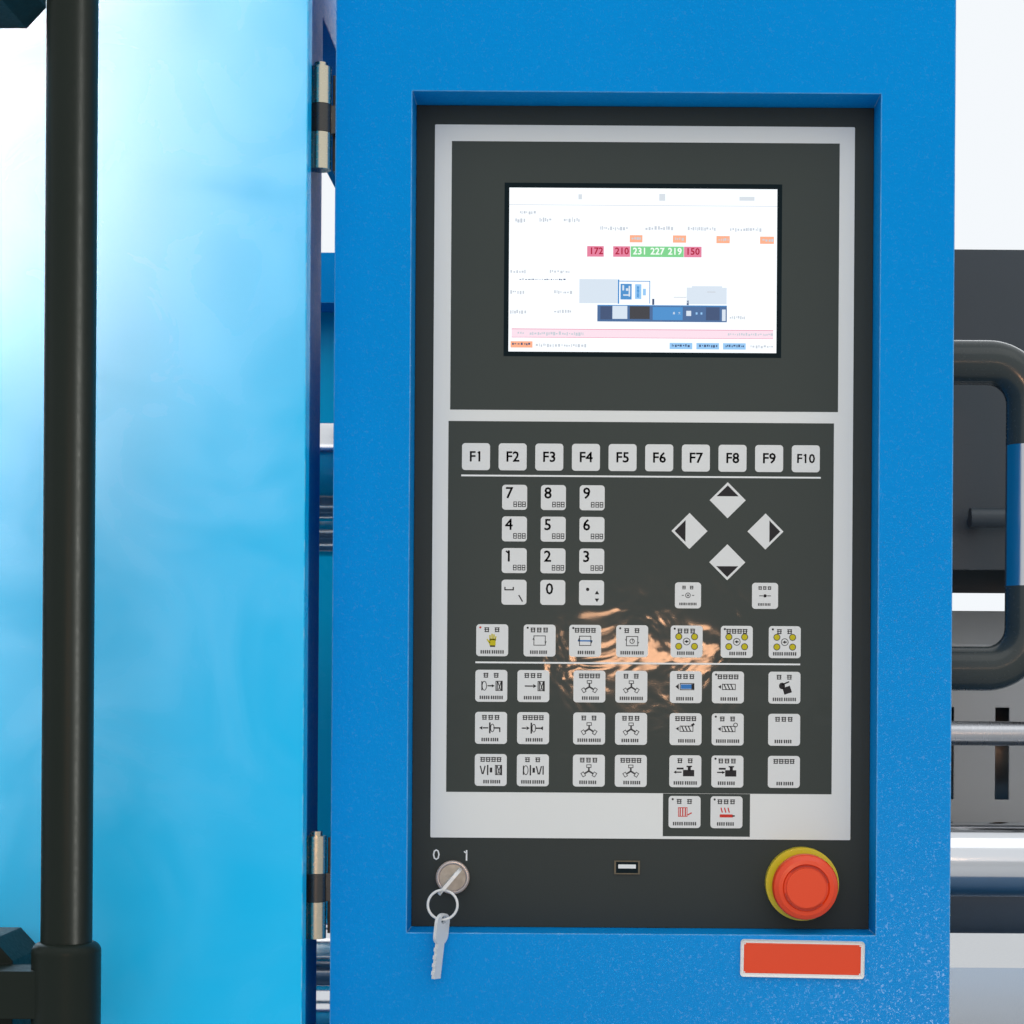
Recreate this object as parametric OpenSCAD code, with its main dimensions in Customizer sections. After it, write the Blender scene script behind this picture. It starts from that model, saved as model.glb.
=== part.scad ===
// Injection moulding machine with a direct hydraulic clamp, guard doors and a swivelling control box.
// X runs along the machine from the clamp to the hopper end, the operator stands at -Y, Z is up from the floor.
// The origin is on the floor below the middle of the bed.

/* [Bed] */
// Length of the bed
bed_len = 4300; // [4200:10:4600]
// Width of the bed
bed_w = 1120; // [1080:10:1240]
// Height of the bed's welded box
bed_h = 720; // [680:10:760]
// Height of the levelling feet
foot_h = 60; // [50:5:80]
// Diameter of a levelling foot's pad
foot_d = 120; // [100:5:160]
// Height of the raised deck under the injection unit
deck_h = 180; // [120:10:200]
// Thickness of the bolted side covers
cover_t = 4; // [3:1:8]

/* [Clamp unit] */
// Width and height of each platen
platen_w = 700; // [680:10:740]
// Thickness of each platen
platen_t = 160; // [140:10:180]
// Height of the clamp and screw axis above the bed
axis_rise = 450; // [440:5:480]
// Distance of the fixed platen's mould face from the middle of the bed
mould_face = 160; // [150:5:180]
// Diameter of a tie bar
bar_d = 80; // [70:5:90]
// Spacing of the tie bars
bar_pitch = 460; // [440:10:500]
// Opening between the platens when the clamp is open
daylight = 600; // [560:10:620]
// Travel of the moving platen
clamp_stroke = 380; // [300:10:400]
// Distance from the moving platen to the tail platen when the clamp is open
tail_gap = 480; // [460:10:500]
// Diameter of the clamp ram
ram_d = 200; // [160:10:220]
// Outer diameter of the clamp cylinder
clamp_cyl_d = 380; // [360:10:420]
// Length of the clamp cylinder
clamp_cyl_len = 520; // [500:10:540]
// Diameter of the locating bore in the mould face
locating_d = 125; // [100:5:160]
// Spacing of the mould clamping holes
mould_pitch = 280; // [210:10:300]
// Diameter of a mould clamping hole
mould_hole_d = 16; // [12:2:24]
// Travel of the ejector
eject_stroke = 95; // [60:5:95]
// Diameter of an ejector rod
eject_d = 30; // [24:2:40]
// Spacing of the ejector rods
eject_pitch = 380; // [360:10:400]

/* [Injection unit] */
// Outer diameter of the barrel
barrel_d = 120; // [110:5:130]
// Diameter of the screw
screw_d = 50; // [40:2:56]
// Length of one turn of the screw's flight
flight_pitch = 50; // [40:5:60]
// Diameter of a guide rod
guide_d = 60; // [50:5:70]
// Spacing of the guide rods
guide_pitch = 520; // [500:10:540]
// Drop of the guide rods below the screw axis
guide_drop = 80; // [70:5:100]
// Travel of the carriage
carriage_stroke = 250; // [150:10:250]
// Travel of the purge guard
purge_stroke = 280; // [200:10:290]
// Travel of the screw
screw_stroke = 220; // [150:10:220]
// Diameter of the drive motor
motor_d = 240; // [200:10:260]
// Number of heater bands on the barrel
band_count = 6; // [4:1:6]
// Width of a heater band
band_w = 80; // [60:5:90]
// Diameter of the hopper's drum
hopper_d = 460; // [400:10:500]
// Height of the hopper's drum
hopper_h = 260; // [200:10:320]
// Travel of the hopper's gate
gate_stroke = 70; // [50:5:70]

/* [Guards] */
// Height of the guards above the floor
guard_top = 1800; // [1790:10:1860]
// Width of a guard post along the machine
post_w = 52; // [40:2:60]
// Depth of a guard post
post_d = 60; // [50:5:70]
// Thickness of the sheet covers
sheet = 2; // [1.5:0.5:3]
// Depth of a guard door from its front to its back
door_t = 16; // [14:1:20]
// Width of a guard door
door_w = 955; // [950:5:980]
// Travel of a guard door
door_stroke = 900; // [700:10:920]
// Width of the front door's window
window_w = 600; // [400:10:640]
// Height of the front door's window
window_h = 520; // [400:10:560]
// Diameter of the tall door handle
pull_d = 30; // [25:1:32]
// Distance of the tall handle's axis from the door
pull_out = 71; // [60:1:85]
// Outer diameter of the tall handle's sockets
socket_d = 40.5; // [38:0.5:46]

/* [Control box] */
// Width of the control box
box_w = 400; // [390:2:420]
// Height of the control box
box_h = 770; // [740:5:800]
// Depth of the control box
box_d = 130; // [125:5:180]
// Height of the control box's underside above the floor
box_z = 1010; // [1000:5:1020]
// Width of the cut-out in the front of the box
cut_w = 302.5; // [300:0.5:306]
// Height of the cut-out in the front of the box
cut_h = 543; // [540:1:546]
// Depth of the panel behind the front of the box
recess = 30; // [20:1:34]
// Width of the membrane keypad
film_w = 277.4; // [277:0.2:284]
// Height of the membrane keypad
film_h = 471; // [470:1:474]
// Width of the screen
screen_w = 177; // [150:1:184]
// Height of the screen
screen_h = 108.3; // [90:0.5:112]
// Radius of the box hinges' knuckles
knuckle_r = 6.8; // [5:0.2:7]
// Height of a box hinge
hinge_h = 66; // [50:1:70]
// Diameter of the arch handle
arch_d = 30; // [26:1:32]
// Overall height of the arch handle
arch_h = 237; // [220:1:260]
// Reach of the arch handle from the side of the box
arch_out = 77; // [68:1:82]
// Diameter of the stop button's head
stop_d = 42.5; // [38:0.5:46]
// Travel of the stop button
stop_travel = 4; // [2:0.5:6]
// Radius of the key switch's ring
switch_r = 11; // [10.5:0.5:12]
// Radius of the key ring
ring_r = 9.5; // [8:0.5:12]

/* [Hidden] */
$fn = 64;

// Clearances
fit = 0.05;
seat = 0.3;

// Bed and floor
bed_top = foot_h + bed_h;
centre_h = bed_top + axis_rise;
bed_x = bed_len / 2;
bed_y = bed_w / 2;
foot_xs = [-0.93 * bed_x, -0.32 * bed_x, 0.32 * bed_x, 0.93 * bed_x];
foot_y = bed_y - 80;
toe = 40;
toe_h = 70;
bay_x = [300, 1100];
bay_z = [foot_h + 100, bed_top - 80];
motor_x = [bay_x[0] + 120, bay_x[1] - 320];
motor_y = bed_y - 180;
motor_z = bay_z[0] + 180;
way_y = [200, 280];
way_h = 10;

// Clamp unit along X
fixed_x = [-mould_face, -mould_face + platen_t];
moving_x = [-mould_face - daylight - platen_t, -mould_face - daylight];
tail_x = [moving_x[0] - tail_gap - platen_t, moving_x[0] - tail_gap];
bars_x = [tail_x[0] - 80, fixed_x[1] + 80];
cylinder_x = [tail_x[0] - clamp_cyl_len, tail_x[0]];
chute_x = [moving_x[0] - 260, fixed_x[0] - 100];
chute_z = [200, 660];
chute_y = 170;

// Ejector at the back of the moving platen
eject_cyl_len = 140;
yoke_t = 30;
yoke_x = [moving_x[0] - eject_cyl_len - eject_stroke - 15 - yoke_t, moving_x[0] - eject_cyl_len - eject_stroke - 15];
yoke_reach = 205;

// Injection unit along X
guide_z = centre_h - guide_drop;
guide_y = guide_pitch / 2;
housing_x = [850, 1010];
housing_z = [centre_h - 150, centre_h + 170];
housing_y = guide_y + 60;
plate_x = [1350, 1420];
pedestal_x = [bed_x - 170, bed_x - 90];
deck_top = bed_top + deck_h;
barrel_x = [160, housing_x[0]];
nozzle_x = [-100, barrel_x[0]];
shot_cyl_d = 110;
shot_y = 150;
shot_rod_d = 50;
move_cyl_d = 80;
move_y = 175;
move_z = centre_h - 110;
throat = 130;
gate_t = 6;
gate_z = housing_z[1] + 34;
purge_x = [fixed_x[1] + 90, fixed_x[1] + 430];
purge_y = 210;
purge_z = [centre_h - 20, centre_h + 155, centre_h + 420];
purge_rail_y = purge_y + 14;
purge_rail_z = centre_h + 20;
purge_rail_d = 20;
hopper_z = housing_z[1] + 80;
cone_h = 240;
lid_z = hopper_z + cone_h + hopper_h;
lid_axis = [hopper_d / 2 + 16, lid_z + 4];

// Guards and doors
hinge_x = fixed_x[0] - 42.5;
guard_y = bed_y;
box_y = -guard_y - 3;
post_right = [hinge_x - 8 - post_w, hinge_x - 8];
post_left = [moving_x[0] - 230, moving_x[0] - 230 + post_w];
door_back = guard_y + 13;
door_front = door_back + door_t;
door_x = [hinge_x - 4.6 - door_w, hinge_x - 4.6];
door_z = [bed_top + 46, guard_top - 26];
rail_x = [door_x[0] - door_stroke - 20, door_x[1]];
rail_t = 6;
tongue_h = 14;
tongue_t = 4;
door_mid = (door_back + door_front) / 2;
window_x = [door_x[1] - 235 - window_w, door_x[1] - 235];
window_z = [door_z[0] + 300, door_z[0] + 300 + window_h];
pull_x = hinge_x - 134.5;
pull_y = -door_front - pull_out;
socket_h = 74;
socket_z = [door_z[0] + 234, door_z[1] - socket_h];

// Electrical cabinet in the bed
cab_x = [bed_x - 1250, bed_x - 650];
cab_z = [foot_h + 120, bed_top - 80];
cab_depth = 310;
cab_axis = [cab_x[1] + 24, -guard_y - 10];
cab_door_x = [cab_x[0] - 15, cab_x[1] + 15];
cab_door_z = [cab_z[0] - 15, cab_z[1] + 15];
cab_door_t = 20;
cab_hinge_r = 6;
cab_hinge_h = 50;
latch_x = cab_x[0] + 30;
latch_z = (cab_z[0] + cab_z[1]) / 2;

// Control box, in its own frame with the hinge axis at x = 0 and the front of the box at y = 0
box_x = [9.5, 9.5 + box_w];
box_top = box_z + box_h;
cut_x = [box_x[0] + (box_w - cut_w) / 2 + 0.75, box_x[0] + (box_w + cut_w) / 2 + 0.75];
cut_z = [box_z + 118, box_z + 118 + cut_h];
panel_x = [cut_x[0] + seat, cut_x[1] - seat];
panel_z = [cut_z[0] + seat, cut_z[1] - seat];
panel_t = 4;
film_x = [cut_x[0] + (cut_w - film_w) / 2 - 0.2, cut_x[0] + (cut_w + film_w) / 2 - 0.2];
film_z = [cut_z[1] - 13 - film_h, cut_z[1] - 13];
film_t = 0.4;
emboss = 0.3;
unit_d = 50;
screen_mid = [(cut_x[0] + cut_x[1]) / 2 - 1, cut_z[1] - 108.5];
hinge_zs = [box_z + 114, box_top - 160.5];
hinge_gap = 0.3;
hinge_split = [23.5, 42];
arch_x = box_x[1] + arch_out - arch_d / 2;
arch_z = box_z + 394.5;
arch_y = 60;
grip_h = 95;
bend_r = 28;
stop_at = [cut_x[1] - 45, cut_z[0] + 30.5];
stop_hole_d = 22;
stop_stem_d = 16;
switch_at = [cut_x[0] + 27.5, cut_z[0] + 33];
switch_hole_r = 9.5;
plug_r = 6.7;
key_angle = 50;
usb_at = [cut_x[0] + 142.4, cut_z[0] + 40];
wire_r = 0.85;

// Keys on the film: [x from its left edge, z below its top edge, width, height]
function row(xs, z, w, h) = [for (x = xs) [x, z, w, h]];
function_keys = row([for (i = [0:9]) 28.5 + 24.2 * i], 219.3, 18.5, 17.8);
digit_keys = [for (j = [0:3]) for (i = [0:2]) [54.2 + 25.6 * i, 246 + 20.9 * j, 16.5, 16.5]];
enter_keys = row([169.1, 220], 310, 17.2, 17.2);
mode_keys = row([40, 71.3, 101.4, 132.4, 168.4, 201.5, 233.2], 340.5, 21.1, 21.1);
axis_keys = [for (j = [0:2]) for (x = [39.6, 67.4, 104.4, 132.1, 168.1, 195.9, 233.2])
             [x, 370.6 + 27.8 * j, 21.1, 21.1]];
heat_keys = row([167.8, 195.5], 453.1, 21.1, 21.1);
square_keys = concat(function_keys, digit_keys, enter_keys, mode_keys, axis_keys, heat_keys);
arrow_keys = [[194.9, 247], [169.8, 267.5], [220, 267.5], [194.9, 288]];
arrow_half = 11.9;

// A block between two corners given as ranges
module block(x, y, z) {
    translate([x[0], y[0], z[0]])
        cube([x[1] - x[0], y[1] - y[0], z[1] - z[0]]);
}

// A round bar along X, Y or Z
module rod_x(x, y, z, d) {
    translate([x[0], y, z])
        rotate([0, 90, 0])
            cylinder(d = d, h = x[1] - x[0]);
}

module rod_y(x, y, z, d) {
    translate([x, y[1], z])
        rotate([90, 0, 0])
            cylinder(d = d, h = y[1] - y[0]);
}

module rod_z(x, y, z, d) {
    translate([x, y, z[0]])
        cylinder(d = d, h = z[1] - z[0]);
}

// Flat work: a drawing in Y and Z given a thickness along X
module slab_x(x) {
    translate([x[0], 0, 0])
        rotate([90, 0, 90])
            linear_extrude(x[1] - x[0])
                children();
}

// Flat work: a drawing in X and Z given a thickness along Y
module slab_y(y) {
    translate([0, y[1], 0])
        rotate([90, 0, 0])
            linear_extrude(y[1] - y[0])
                children();
}

// Copies at both signs of Y, and at the four corners of a square round the machine's axis
module both_sides() {
    children();
    mirror([0, 1, 0])
        children();
}

module four_corners(pitch) {
    for (sy = [-1, 1])
        for (sz = [-1, 1])
            translate([0, sy * pitch / 2, centre_h + sz * pitch / 2])
                children();
}

// A rectangle with round corners, centred
module round_rect(w, h, r) {
    square([w - 2 * r, h], center = true);
    square([w, h - 2 * r], center = true);
    for (sx = [-1, 1])
        for (sy = [-1, 1])
            translate([sx * (w / 2 - r), sy * (h / 2 - r)])
                circle(r);
}

// A rectangle with its corners cut off, centred
module cut_rect(w, h, c) {
    polygon([[-w / 2 + c, -h / 2], [w / 2 - c, -h / 2], [w / 2, -h / 2 + c], [w / 2, h / 2 - c],
             [w / 2 - c, h / 2], [-w / 2 + c, h / 2], [-w / 2, h / 2 - c], [-w / 2, -h / 2 + c]]);
}

// The control box's own frame
module at_box() {
    translate([hinge_x, box_y, 0])
        children();
}

// Bed: a welded box with a parts chute, a pump bay, a cabinet recess and ways for the moving platen
module bed_frame() {
    color("#27475f")
        difference() {
            union() {
                block([-bed_x, bed_x], [-bed_y, bed_y], [foot_h, bed_top]);
                block([bars_x[1] + 10, bed_x - 40], [-bed_y + 120, bed_y - 120], [bed_top, deck_top]);
                both_sides()
                    block([tail_x[1] + 20, fixed_x[0] - 40], way_y, [bed_top, bed_top + way_h]);
            }
            both_sides()
                block([-bed_x - 1, bed_x + 1], [bed_y - toe, bed_y + 1], [foot_h - 1, foot_h + toe_h]);
            block(chute_x, [-bed_y - 1, bed_y + 1], chute_z);
            block([chute_x[0] + 60, chute_x[1] - 20], [-chute_y, chute_y], [chute_z[1] - 1, bed_top + 1]);
            block(cab_x, [-bed_y - 1, -bed_y + cab_depth], cab_z);
            block(bay_x, [150, bed_y + 1], bay_z);
        }
}

module levelling_feet() {
    color("#3a3d40")
        for (x = foot_xs)
            for (sy = [-1, 1])
                translate([x, sy * foot_y, 0]) {
                    cylinder(d1 = foot_d, d2 = foot_d * 0.8, h = foot_h * 0.35);
                    cylinder(d = foot_d * 0.3, h = foot_h);
                }
}

// Bolted covers: plain panels with louvre slots on both sides of the bed
cover_margin = 40;
cover_z = [foot_h + toe_h + 20, bed_top - 30];
slot_h = 10;
slot_pitch = 30;
cover_spans = [[-bed_x + cover_margin, chute_x[0] - 40, 6], [chute_x[1] + 40, 240, 0],
               [cab_x[1] + 80, bed_x - cover_margin, 6]];

module cover_panel(x0, x1, slots) {
    slab_y([-bed_y - cover_t, -bed_y])
        difference() {
            translate([(x0 + x1) / 2, (cover_z[0] + cover_z[1]) / 2])
                round_rect(x1 - x0, cover_z[1] - cover_z[0], 12);
            for (i = [0:1:slots - 1])
                translate([x0 + (x1 - x0) / 2, cover_z[1] - 80 - slot_pitch * i])
                    square([(x1 - x0) * 0.5, slot_h], center = true);
        }
}

module bed_covers() {
    color("#2f5673") {
        for (s = cover_spans)
            cover_panel(s[0], s[1], s[2]);
        cover_panel(cover_spans[1][1] + 20, cab_x[0] - 40, 6);
        mirror([0, 1, 0]) {
            for (s = cover_spans)
                cover_panel(s[0], s[1], s[2]);
            cover_panel(cover_spans[1][1] + 20, cover_spans[2][0] - 20, 14);
        }
    }
}

// Platens: cast blocks bored for the tie bars
module platen_drawing() {
    translate([0, centre_h])
        difference() {
            cut_rect(platen_w, platen_w, 50);
            for (sy = [-1, 1])
                for (sz = [-1, 1])
                    translate([sy * bar_pitch / 2, sz * bar_pitch / 2])
                        circle(d = bar_d + 2 * fit);
        }
}

module mould_holes(x) {
    four_corners(mould_pitch)
        rod_x(x, 0, 0, mould_hole_d);
    for (sy = [-1, 1])
        for (sz = [-1, 1]) {
            rod_x(x, sy * mould_pitch / 4, centre_h + sz * mould_pitch * 0.75, mould_hole_d);
            rod_x(x, sy * mould_pitch * 0.75, centre_h + sz * mould_pitch / 4, mould_hole_d);
        }
}

module platen_foot(x) {
    block(x, [-platen_w / 2 + 50, platen_w / 2 - 50], [bed_top, centre_h - platen_w / 2 + 1]);
}

module fixed_platen() {
    color("#5c6670")
        difference() {
            union() {
                slab_x(fixed_x)
                    platen_drawing();
                platen_foot(fixed_x);
            }
            rod_x([fixed_x[0] - 1, fixed_x[1] + 1], 0, centre_h, locating_d);
            rod_x([fixed_x[0] + 35, fixed_x[1] + 1], 0, centre_h, locating_d + 75);
            mould_holes([fixed_x[0] - 1, fixed_x[0] + 45]);
        }
}

module tail_platen() {
    color("#5c6670")
        difference() {
            union() {
                slab_x(tail_x)
                    platen_drawing();
                platen_foot(tail_x);
            }
            rod_x([tail_x[0] - 1, tail_x[1] + 1], 0, centre_h, ram_d + 2 * fit);
        }
}

module moving_platen() {
    color("#5c6670")
        difference() {
            union() {
                slab_x(moving_x)
                    platen_drawing();
                both_sides()
                    block([moving_x[0] - 20, moving_x[1] + 20], way_y,
                          [bed_top + way_h + seat, centre_h - platen_w / 2 + 1]);
            }
            rod_x([moving_x[1] - 30, moving_x[1] + 1], 0, centre_h, locating_d);
            mould_holes([moving_x[1] - 45, moving_x[1] + 1]);
            both_sides()
                rod_x([moving_x[0] - 1, moving_x[1] + 1], eject_pitch / 2, centre_h, eject_d + 2 * fit);
        }
}

module tie_bars() {
    color("#c9ccd0")
        four_corners(bar_pitch)
            rod_x(bars_x, 0, 0, bar_d);
}

// Round nuts with spanner flats, outside the fixed and tail platens
module nut_blank(x) {
    difference() {
        rod_x(x, 0, 0, bar_d + 70);
        rod_x([x[0] - 1, x[1] + 1], 0, 0, bar_d + 2 * fit);
        for (sz = [-1, 1])
            translate([0, 0, sz * (bar_d + 70) / 2])
                block([(x[0] + x[1]) / 2 - 12, (x[0] + x[1]) / 2 + 12], [-12, 12], [-10, 10]);
    }
}

module tie_bar_nuts() {
    color("#3f4347")
        four_corners(bar_pitch) {
            nut_blank([tail_x[0] - 60, tail_x[0]]);
            nut_blank([fixed_x[1], fixed_x[1] + 60]);
        }
}

// Clamp cylinder: a bored body with a flange and an end cap
module clamp_cylinder() {
    color("#6d7780")
        difference() {
            union() {
                rod_x(cylinder_x, 0, centre_h, clamp_cyl_d - 40);
                rod_x([cylinder_x[1] - 45, cylinder_x[1]], 0, centre_h, clamp_cyl_d);
                rod_x([cylinder_x[0], cylinder_x[0] + 60], 0, centre_h, clamp_cyl_d);
                block([cylinder_x[0] + 120, cylinder_x[0] + 180], [-40, 40],
                      [centre_h + clamp_cyl_d / 2 - 60, centre_h + clamp_cyl_d / 2 + 30]);
            }
            rod_x([cylinder_x[0] + 40, cylinder_x[1] + 1], 0, centre_h, ram_d + 2 * fit);
        }
}

module clamp_ram() {
    color("#d5d8db") {
        rod_x([cylinder_x[0] + 80, moving_x[0]], 0, centre_h, ram_d);
        difference() {
            rod_x([moving_x[0] - 25, moving_x[0]], 0, centre_h, ram_d + 100);
            for (a = [0:45:315])
                translate([0, (ram_d / 2 + 28) * cos(a), centre_h + (ram_d / 2 + 28) * sin(a)])
                    rod_x([moving_x[0] - 30, moving_x[0] - 12], 0, 0, 22);
        }
    }
}

// Ejector: two hydraulic cylinders push a yoke that carries the ejector rods
module ejector_cylinders() {
    color("#6d7780")
        for (sz = [-1, 1])
            translate([0, 0, sz * (yoke_reach - 15)])
                difference() {
                    rod_x([moving_x[0] - eject_cyl_len, moving_x[0]], 0, centre_h, 70);
                    rod_x([moving_x[0] - eject_cyl_len - 1, moving_x[0] - 20], 0, centre_h, 30 + 2 * fit);
                }
}

module ejector_yoke() {
    color("#c9ccd0") {
        difference() {
            slab_x(yoke_x)
                translate([0, centre_h]) {
                    circle(d = ram_d + 90);
                    square([eject_pitch + 70, 70], center = true);
                    square([70, 2 * yoke_reach + 40], center = true);
                }
            rod_x([yoke_x[0] - 1, yoke_x[1] + 1], 0, centre_h, ram_d + 16);
        }
        both_sides()
            rod_x([yoke_x[1], moving_x[1] - 5], eject_pitch / 2, centre_h, eject_d);
        for (sz = [-1, 1])
            rod_x([yoke_x[1], moving_x[0] - eject_cyl_len + 10], 0, centre_h + sz * (yoke_reach - 15), 30);
    }
}

// Fixed guard over the clamp: a sheet hood with louvres, open towards the mould area and below
module clamp_guard() {
    color("#e6e8e8")
        difference() {
            block([-bed_x, post_left[0]], [-guard_y, guard_y], [bed_top, guard_top]);
            block([-bed_x + sheet, post_left[0] + 1], [-guard_y + sheet, guard_y - sheet],
                  [bed_top - 1, guard_top - sheet]);
            for (i = [0:7])
                for (x = [-bed_x + 130, -bed_x + 480])
                    block([x, x + 240], [-guard_y - 1, guard_y + 1],
                          [bed_top + 420 + 30 * i, bed_top + 432 + 30 * i]);
        }
}

// Guard frame of square tube round the mould area
module guard_frame() {
    beam_z = [guard_top - post_d, guard_top];
    color("#0a5fa8") {
        both_sides() {
            for (x = [post_left, post_right])
                block(x, [guard_y - post_d, guard_y], [bed_top, guard_top - post_d]);
            block([post_left[0], post_right[1]], [guard_y - post_d, guard_y], beam_z);
        }
        for (x = [post_left, post_right])
            block(x, [-guard_y + post_d, guard_y - post_d], beam_z);
    }
}

// Door rails: a shelf below and above each door, each with a tongue that its shoes straddle
module rail_set() {
    shelf_y = [-door_front - 2, -guard_y];
    tongue_y = [-door_mid - tongue_t / 2, -door_mid + tongue_t / 2];
    low = [door_z[0] - 26, door_z[0] - 20];
    high = [guard_top - rail_t, guard_top];
    block(rail_x, shelf_y, low);
    block(rail_x, tongue_y, [low[1], low[1] + tongue_h]);
    block(rail_x, shelf_y, high);
    block(rail_x, tongue_y, [high[0] - tongue_h, high[0]]);
}

module guard_rails() {
    color("#aeb4b8")
        both_sides() {
            rail_set();
            purge_rail();
        }
}

// Guide rods of the injection unit and their pedestals
module guide_rods() {
    color("#d5d8db")
        both_sides()
            rod_x([fixed_x[1], pedestal_x[1]], guide_y, guide_z, guide_d);
}

module rod_pedestals() {
    color("#2f5673")
        both_sides()
            difference() {
                block(pedestal_x, [guide_y - 55, guide_y + 55], [deck_top, guide_z + guide_d / 2 + 30]);
                rod_x([pedestal_x[0] - 1, pedestal_x[1] + 1], guide_y, guide_z, guide_d + 2 * fit);
            }
}

// Pump set in the bed: a finned motor and its pump on a base plate
module pump_motor() {
    color("#1f5f94") {
        difference() {
            rod_x(motor_x, motor_y, motor_z, 250);
            for (i = [0:11])
                translate([motor_x[0] + 30 + 25 * i, motor_y, motor_z])
                    rotate([0, 90, 0])
                        difference() {
                            cylinder(d = 260, h = 12);
                            translate([0, 0, -1])
                                cylinder(d = 222, h = 14);
                        }
        }
        rod_x([motor_x[1], motor_x[1] + 90], motor_y, motor_z, 140);
        block([motor_x[1] + 90, motor_x[1] + 230], [motor_y - 80, motor_y + 80], [motor_z - 80, motor_z + 90]);
        block([motor_x[0] + 30, motor_x[1] + 200], [motor_y - 110, motor_y + 110], [160, motor_z - 115]);
    }
}

// Switchgear on its plate inside the cabinet
module cabinet_plate() {
    back = -bed_y + cab_depth;
    color("#d9d9d2")
        block([cab_x[0] + 20, cab_x[1] - 20], [back - 6, back], [cab_z[0] + 20, cab_z[1] - 20]);
    color("#4a4f55") {
        for (i = [0:8])
            block([cab_x[0] + 60 + 52 * i, cab_x[0] + 98 + 52 * i], [back - 76, back - 6],
                  [cab_z[1] - 150, cab_z[1] - 70]);
        for (i = [0:5])
            block([cab_x[0] + 60 + 80 * i, cab_x[0] + 122 + 80 * i], [back - 96, back - 6],
                  [cab_z[0] + 210, cab_z[0] + 300]);
        block([cab_x[0] + 60, cab_x[1] - 60], [back - 50, back - 6], [cab_z[0] + 60, cab_z[0] + 120]);
    }
}

// Carriage cylinders, bolted to the back of the fixed platen
module carriage_cylinders() {
    len = carriage_stroke + 170;
    color("#6d7780")
        both_sides()
            difference() {
                union() {
                    rod_x([fixed_x[1], fixed_x[1] + len], move_y, move_z, move_cyl_d);
                    rod_x([fixed_x[1] + len, fixed_x[1] + len + 20], move_y, move_z, move_cyl_d - 16);
                }
                rod_x([fixed_x[1] + 110, fixed_x[1] + len + 21], move_y, move_z, 36 + 2 * fit);
            }
}

// Carriage housing: it carries the barrel, the cylinders and the hopper, and slides on the guide rods
module carriage_housing() {
    color("#5c6670")
        difference() {
            slab_x(housing_x)
                translate([0, (housing_z[0] + housing_z[1]) / 2])
                    cut_rect(2 * housing_y, housing_z[1] - housing_z[0], 30);
            rod_x([housing_x[0] - 1, housing_x[1] + 1], 0, centre_h, screw_d + 10);
            both_sides()
                rod_x([housing_x[0] - 1, housing_x[1] + 1], guide_y, guide_z, guide_d + 2 * fit);
            rod_z((housing_x[0] + housing_x[1]) / 2, 0, [centre_h, housing_z[1] + 1], 60);
        }
    color("#d5d8db")
        both_sides()
            rod_x([fixed_x[1] + 120, housing_x[0]], move_y, move_z, 36);
}

module barrel() {
    color("#8c8f93")
        difference() {
            union() {
                rod_x(barrel_x, 0, centre_h, barrel_d);
                rod_x([barrel_x[1] - 30, barrel_x[1]], 0, centre_h, barrel_d + 80);
            }
            rod_x([barrel_x[0] - 1, barrel_x[1] + 1], 0, centre_h, screw_d + 0.4);
        }
}

module nozzle() {
    color("#b5a98f")
        translate([nozzle_x[1], 0, centre_h])
            rotate([0, -90, 0])
                difference() {
                    rotate_extrude()
                        polygon([[0, 0], [50, 0], [50, 40], [30, 60], [25, 70], [25, 225], [9, 260], [0, 260]]);
                    translate([0, 0, -1])
                        cylinder(d1 = screw_d, d2 = 10, h = 50);
                    translate([0, 0, 40])
                        cylinder(d = 5, h = 230);
                }
}

// Heater bands round the barrel, each with its terminal block
module heater_bands() {
    gap = (barrel_x[1] - 40 - barrel_x[0] - 10 - band_count * band_w) / band_count;
    color("#b9b4a6")
        for (i = [0:band_count - 1])
            translate([barrel_x[0] + 10 + i * (band_w + gap), 0, 0]) {
                difference() {
                    rod_x([0, band_w], 0, centre_h, barrel_d + 24);
                    rod_x([-1, band_w + 1], 0, centre_h, barrel_d + 2 * fit);
                    block([-1, band_w + 1], [-2, 2], [centre_h - barrel_d, centre_h - barrel_d / 2 + 2]);
                }
                block([band_w / 2 - 16, band_w / 2 + 16], [-14, 14],
                      [centre_h + barrel_d / 2 + 11, centre_h + barrel_d / 2 + 36]);
            }
}

// Hood over the nozzle that slides along the barrel, cut away below where the barrel cover shows
module purge_guard() {
    x = purge_x;
    y = purge_y;
    z = purge_z;
    color("#3b444c") {
        difference() {
            union() {
                block(x, [-y, y], [z[1], z[2]]);
                block([x[0], x[0] + 170], [-y, y], [z[0], z[1] + 1]);
            }
            block([x[0] - 1, x[1] - sheet], [-y + sheet, y - sheet], [z[1] - 1, z[2] - sheet]);
            block([x[0] - 1, x[0] + 171], [-y + sheet, y - sheet], [z[0] - 1, z[1] + 1]);
            for (i = [0:8])
                block([x[0] + 50 + 28 * i, x[0] + 60 + 28 * i], [-y + 60, y - 60], [z[2] - sheet - 1, z[2] + 1]);
        }
        both_sides()
            for (x0 = [x[0] + 10, x[0] + 120])
                difference() {
                    rod_x([x0, x0 + 40], purge_rail_y, purge_rail_z, purge_rail_d + 14);
                    rod_x([x0 - 1, x0 + 41], purge_rail_y, purge_rail_z, purge_rail_d + 2 * fit);
                }
        for (x0 = [x[0] + 200, x[1] - 60])
            rod_y(x0, [-y - 36, -y + 1], z[1] + 40, 10);
        rod_x([x[0] + 190, x[1] - 50], -y - 36, z[1] + 40, 16);
    }
}

// Rails of the hood, from the fixed platen to posts on the deck
module purge_rail() {
    end = purge_x[1] + purge_stroke + 30;
    rod_x([fixed_x[1], end + 16], purge_rail_y, purge_rail_z, purge_rail_d);
    rod_x([fixed_x[1], fixed_x[1] + 12], purge_rail_y, purge_rail_z, 50);
    rod_x([end, end + 16], purge_rail_y, purge_rail_z, 40);
    block([end, end + 16], [purge_rail_y - 27, purge_rail_y + 3], [deck_top, purge_rail_z]);
}

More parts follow.
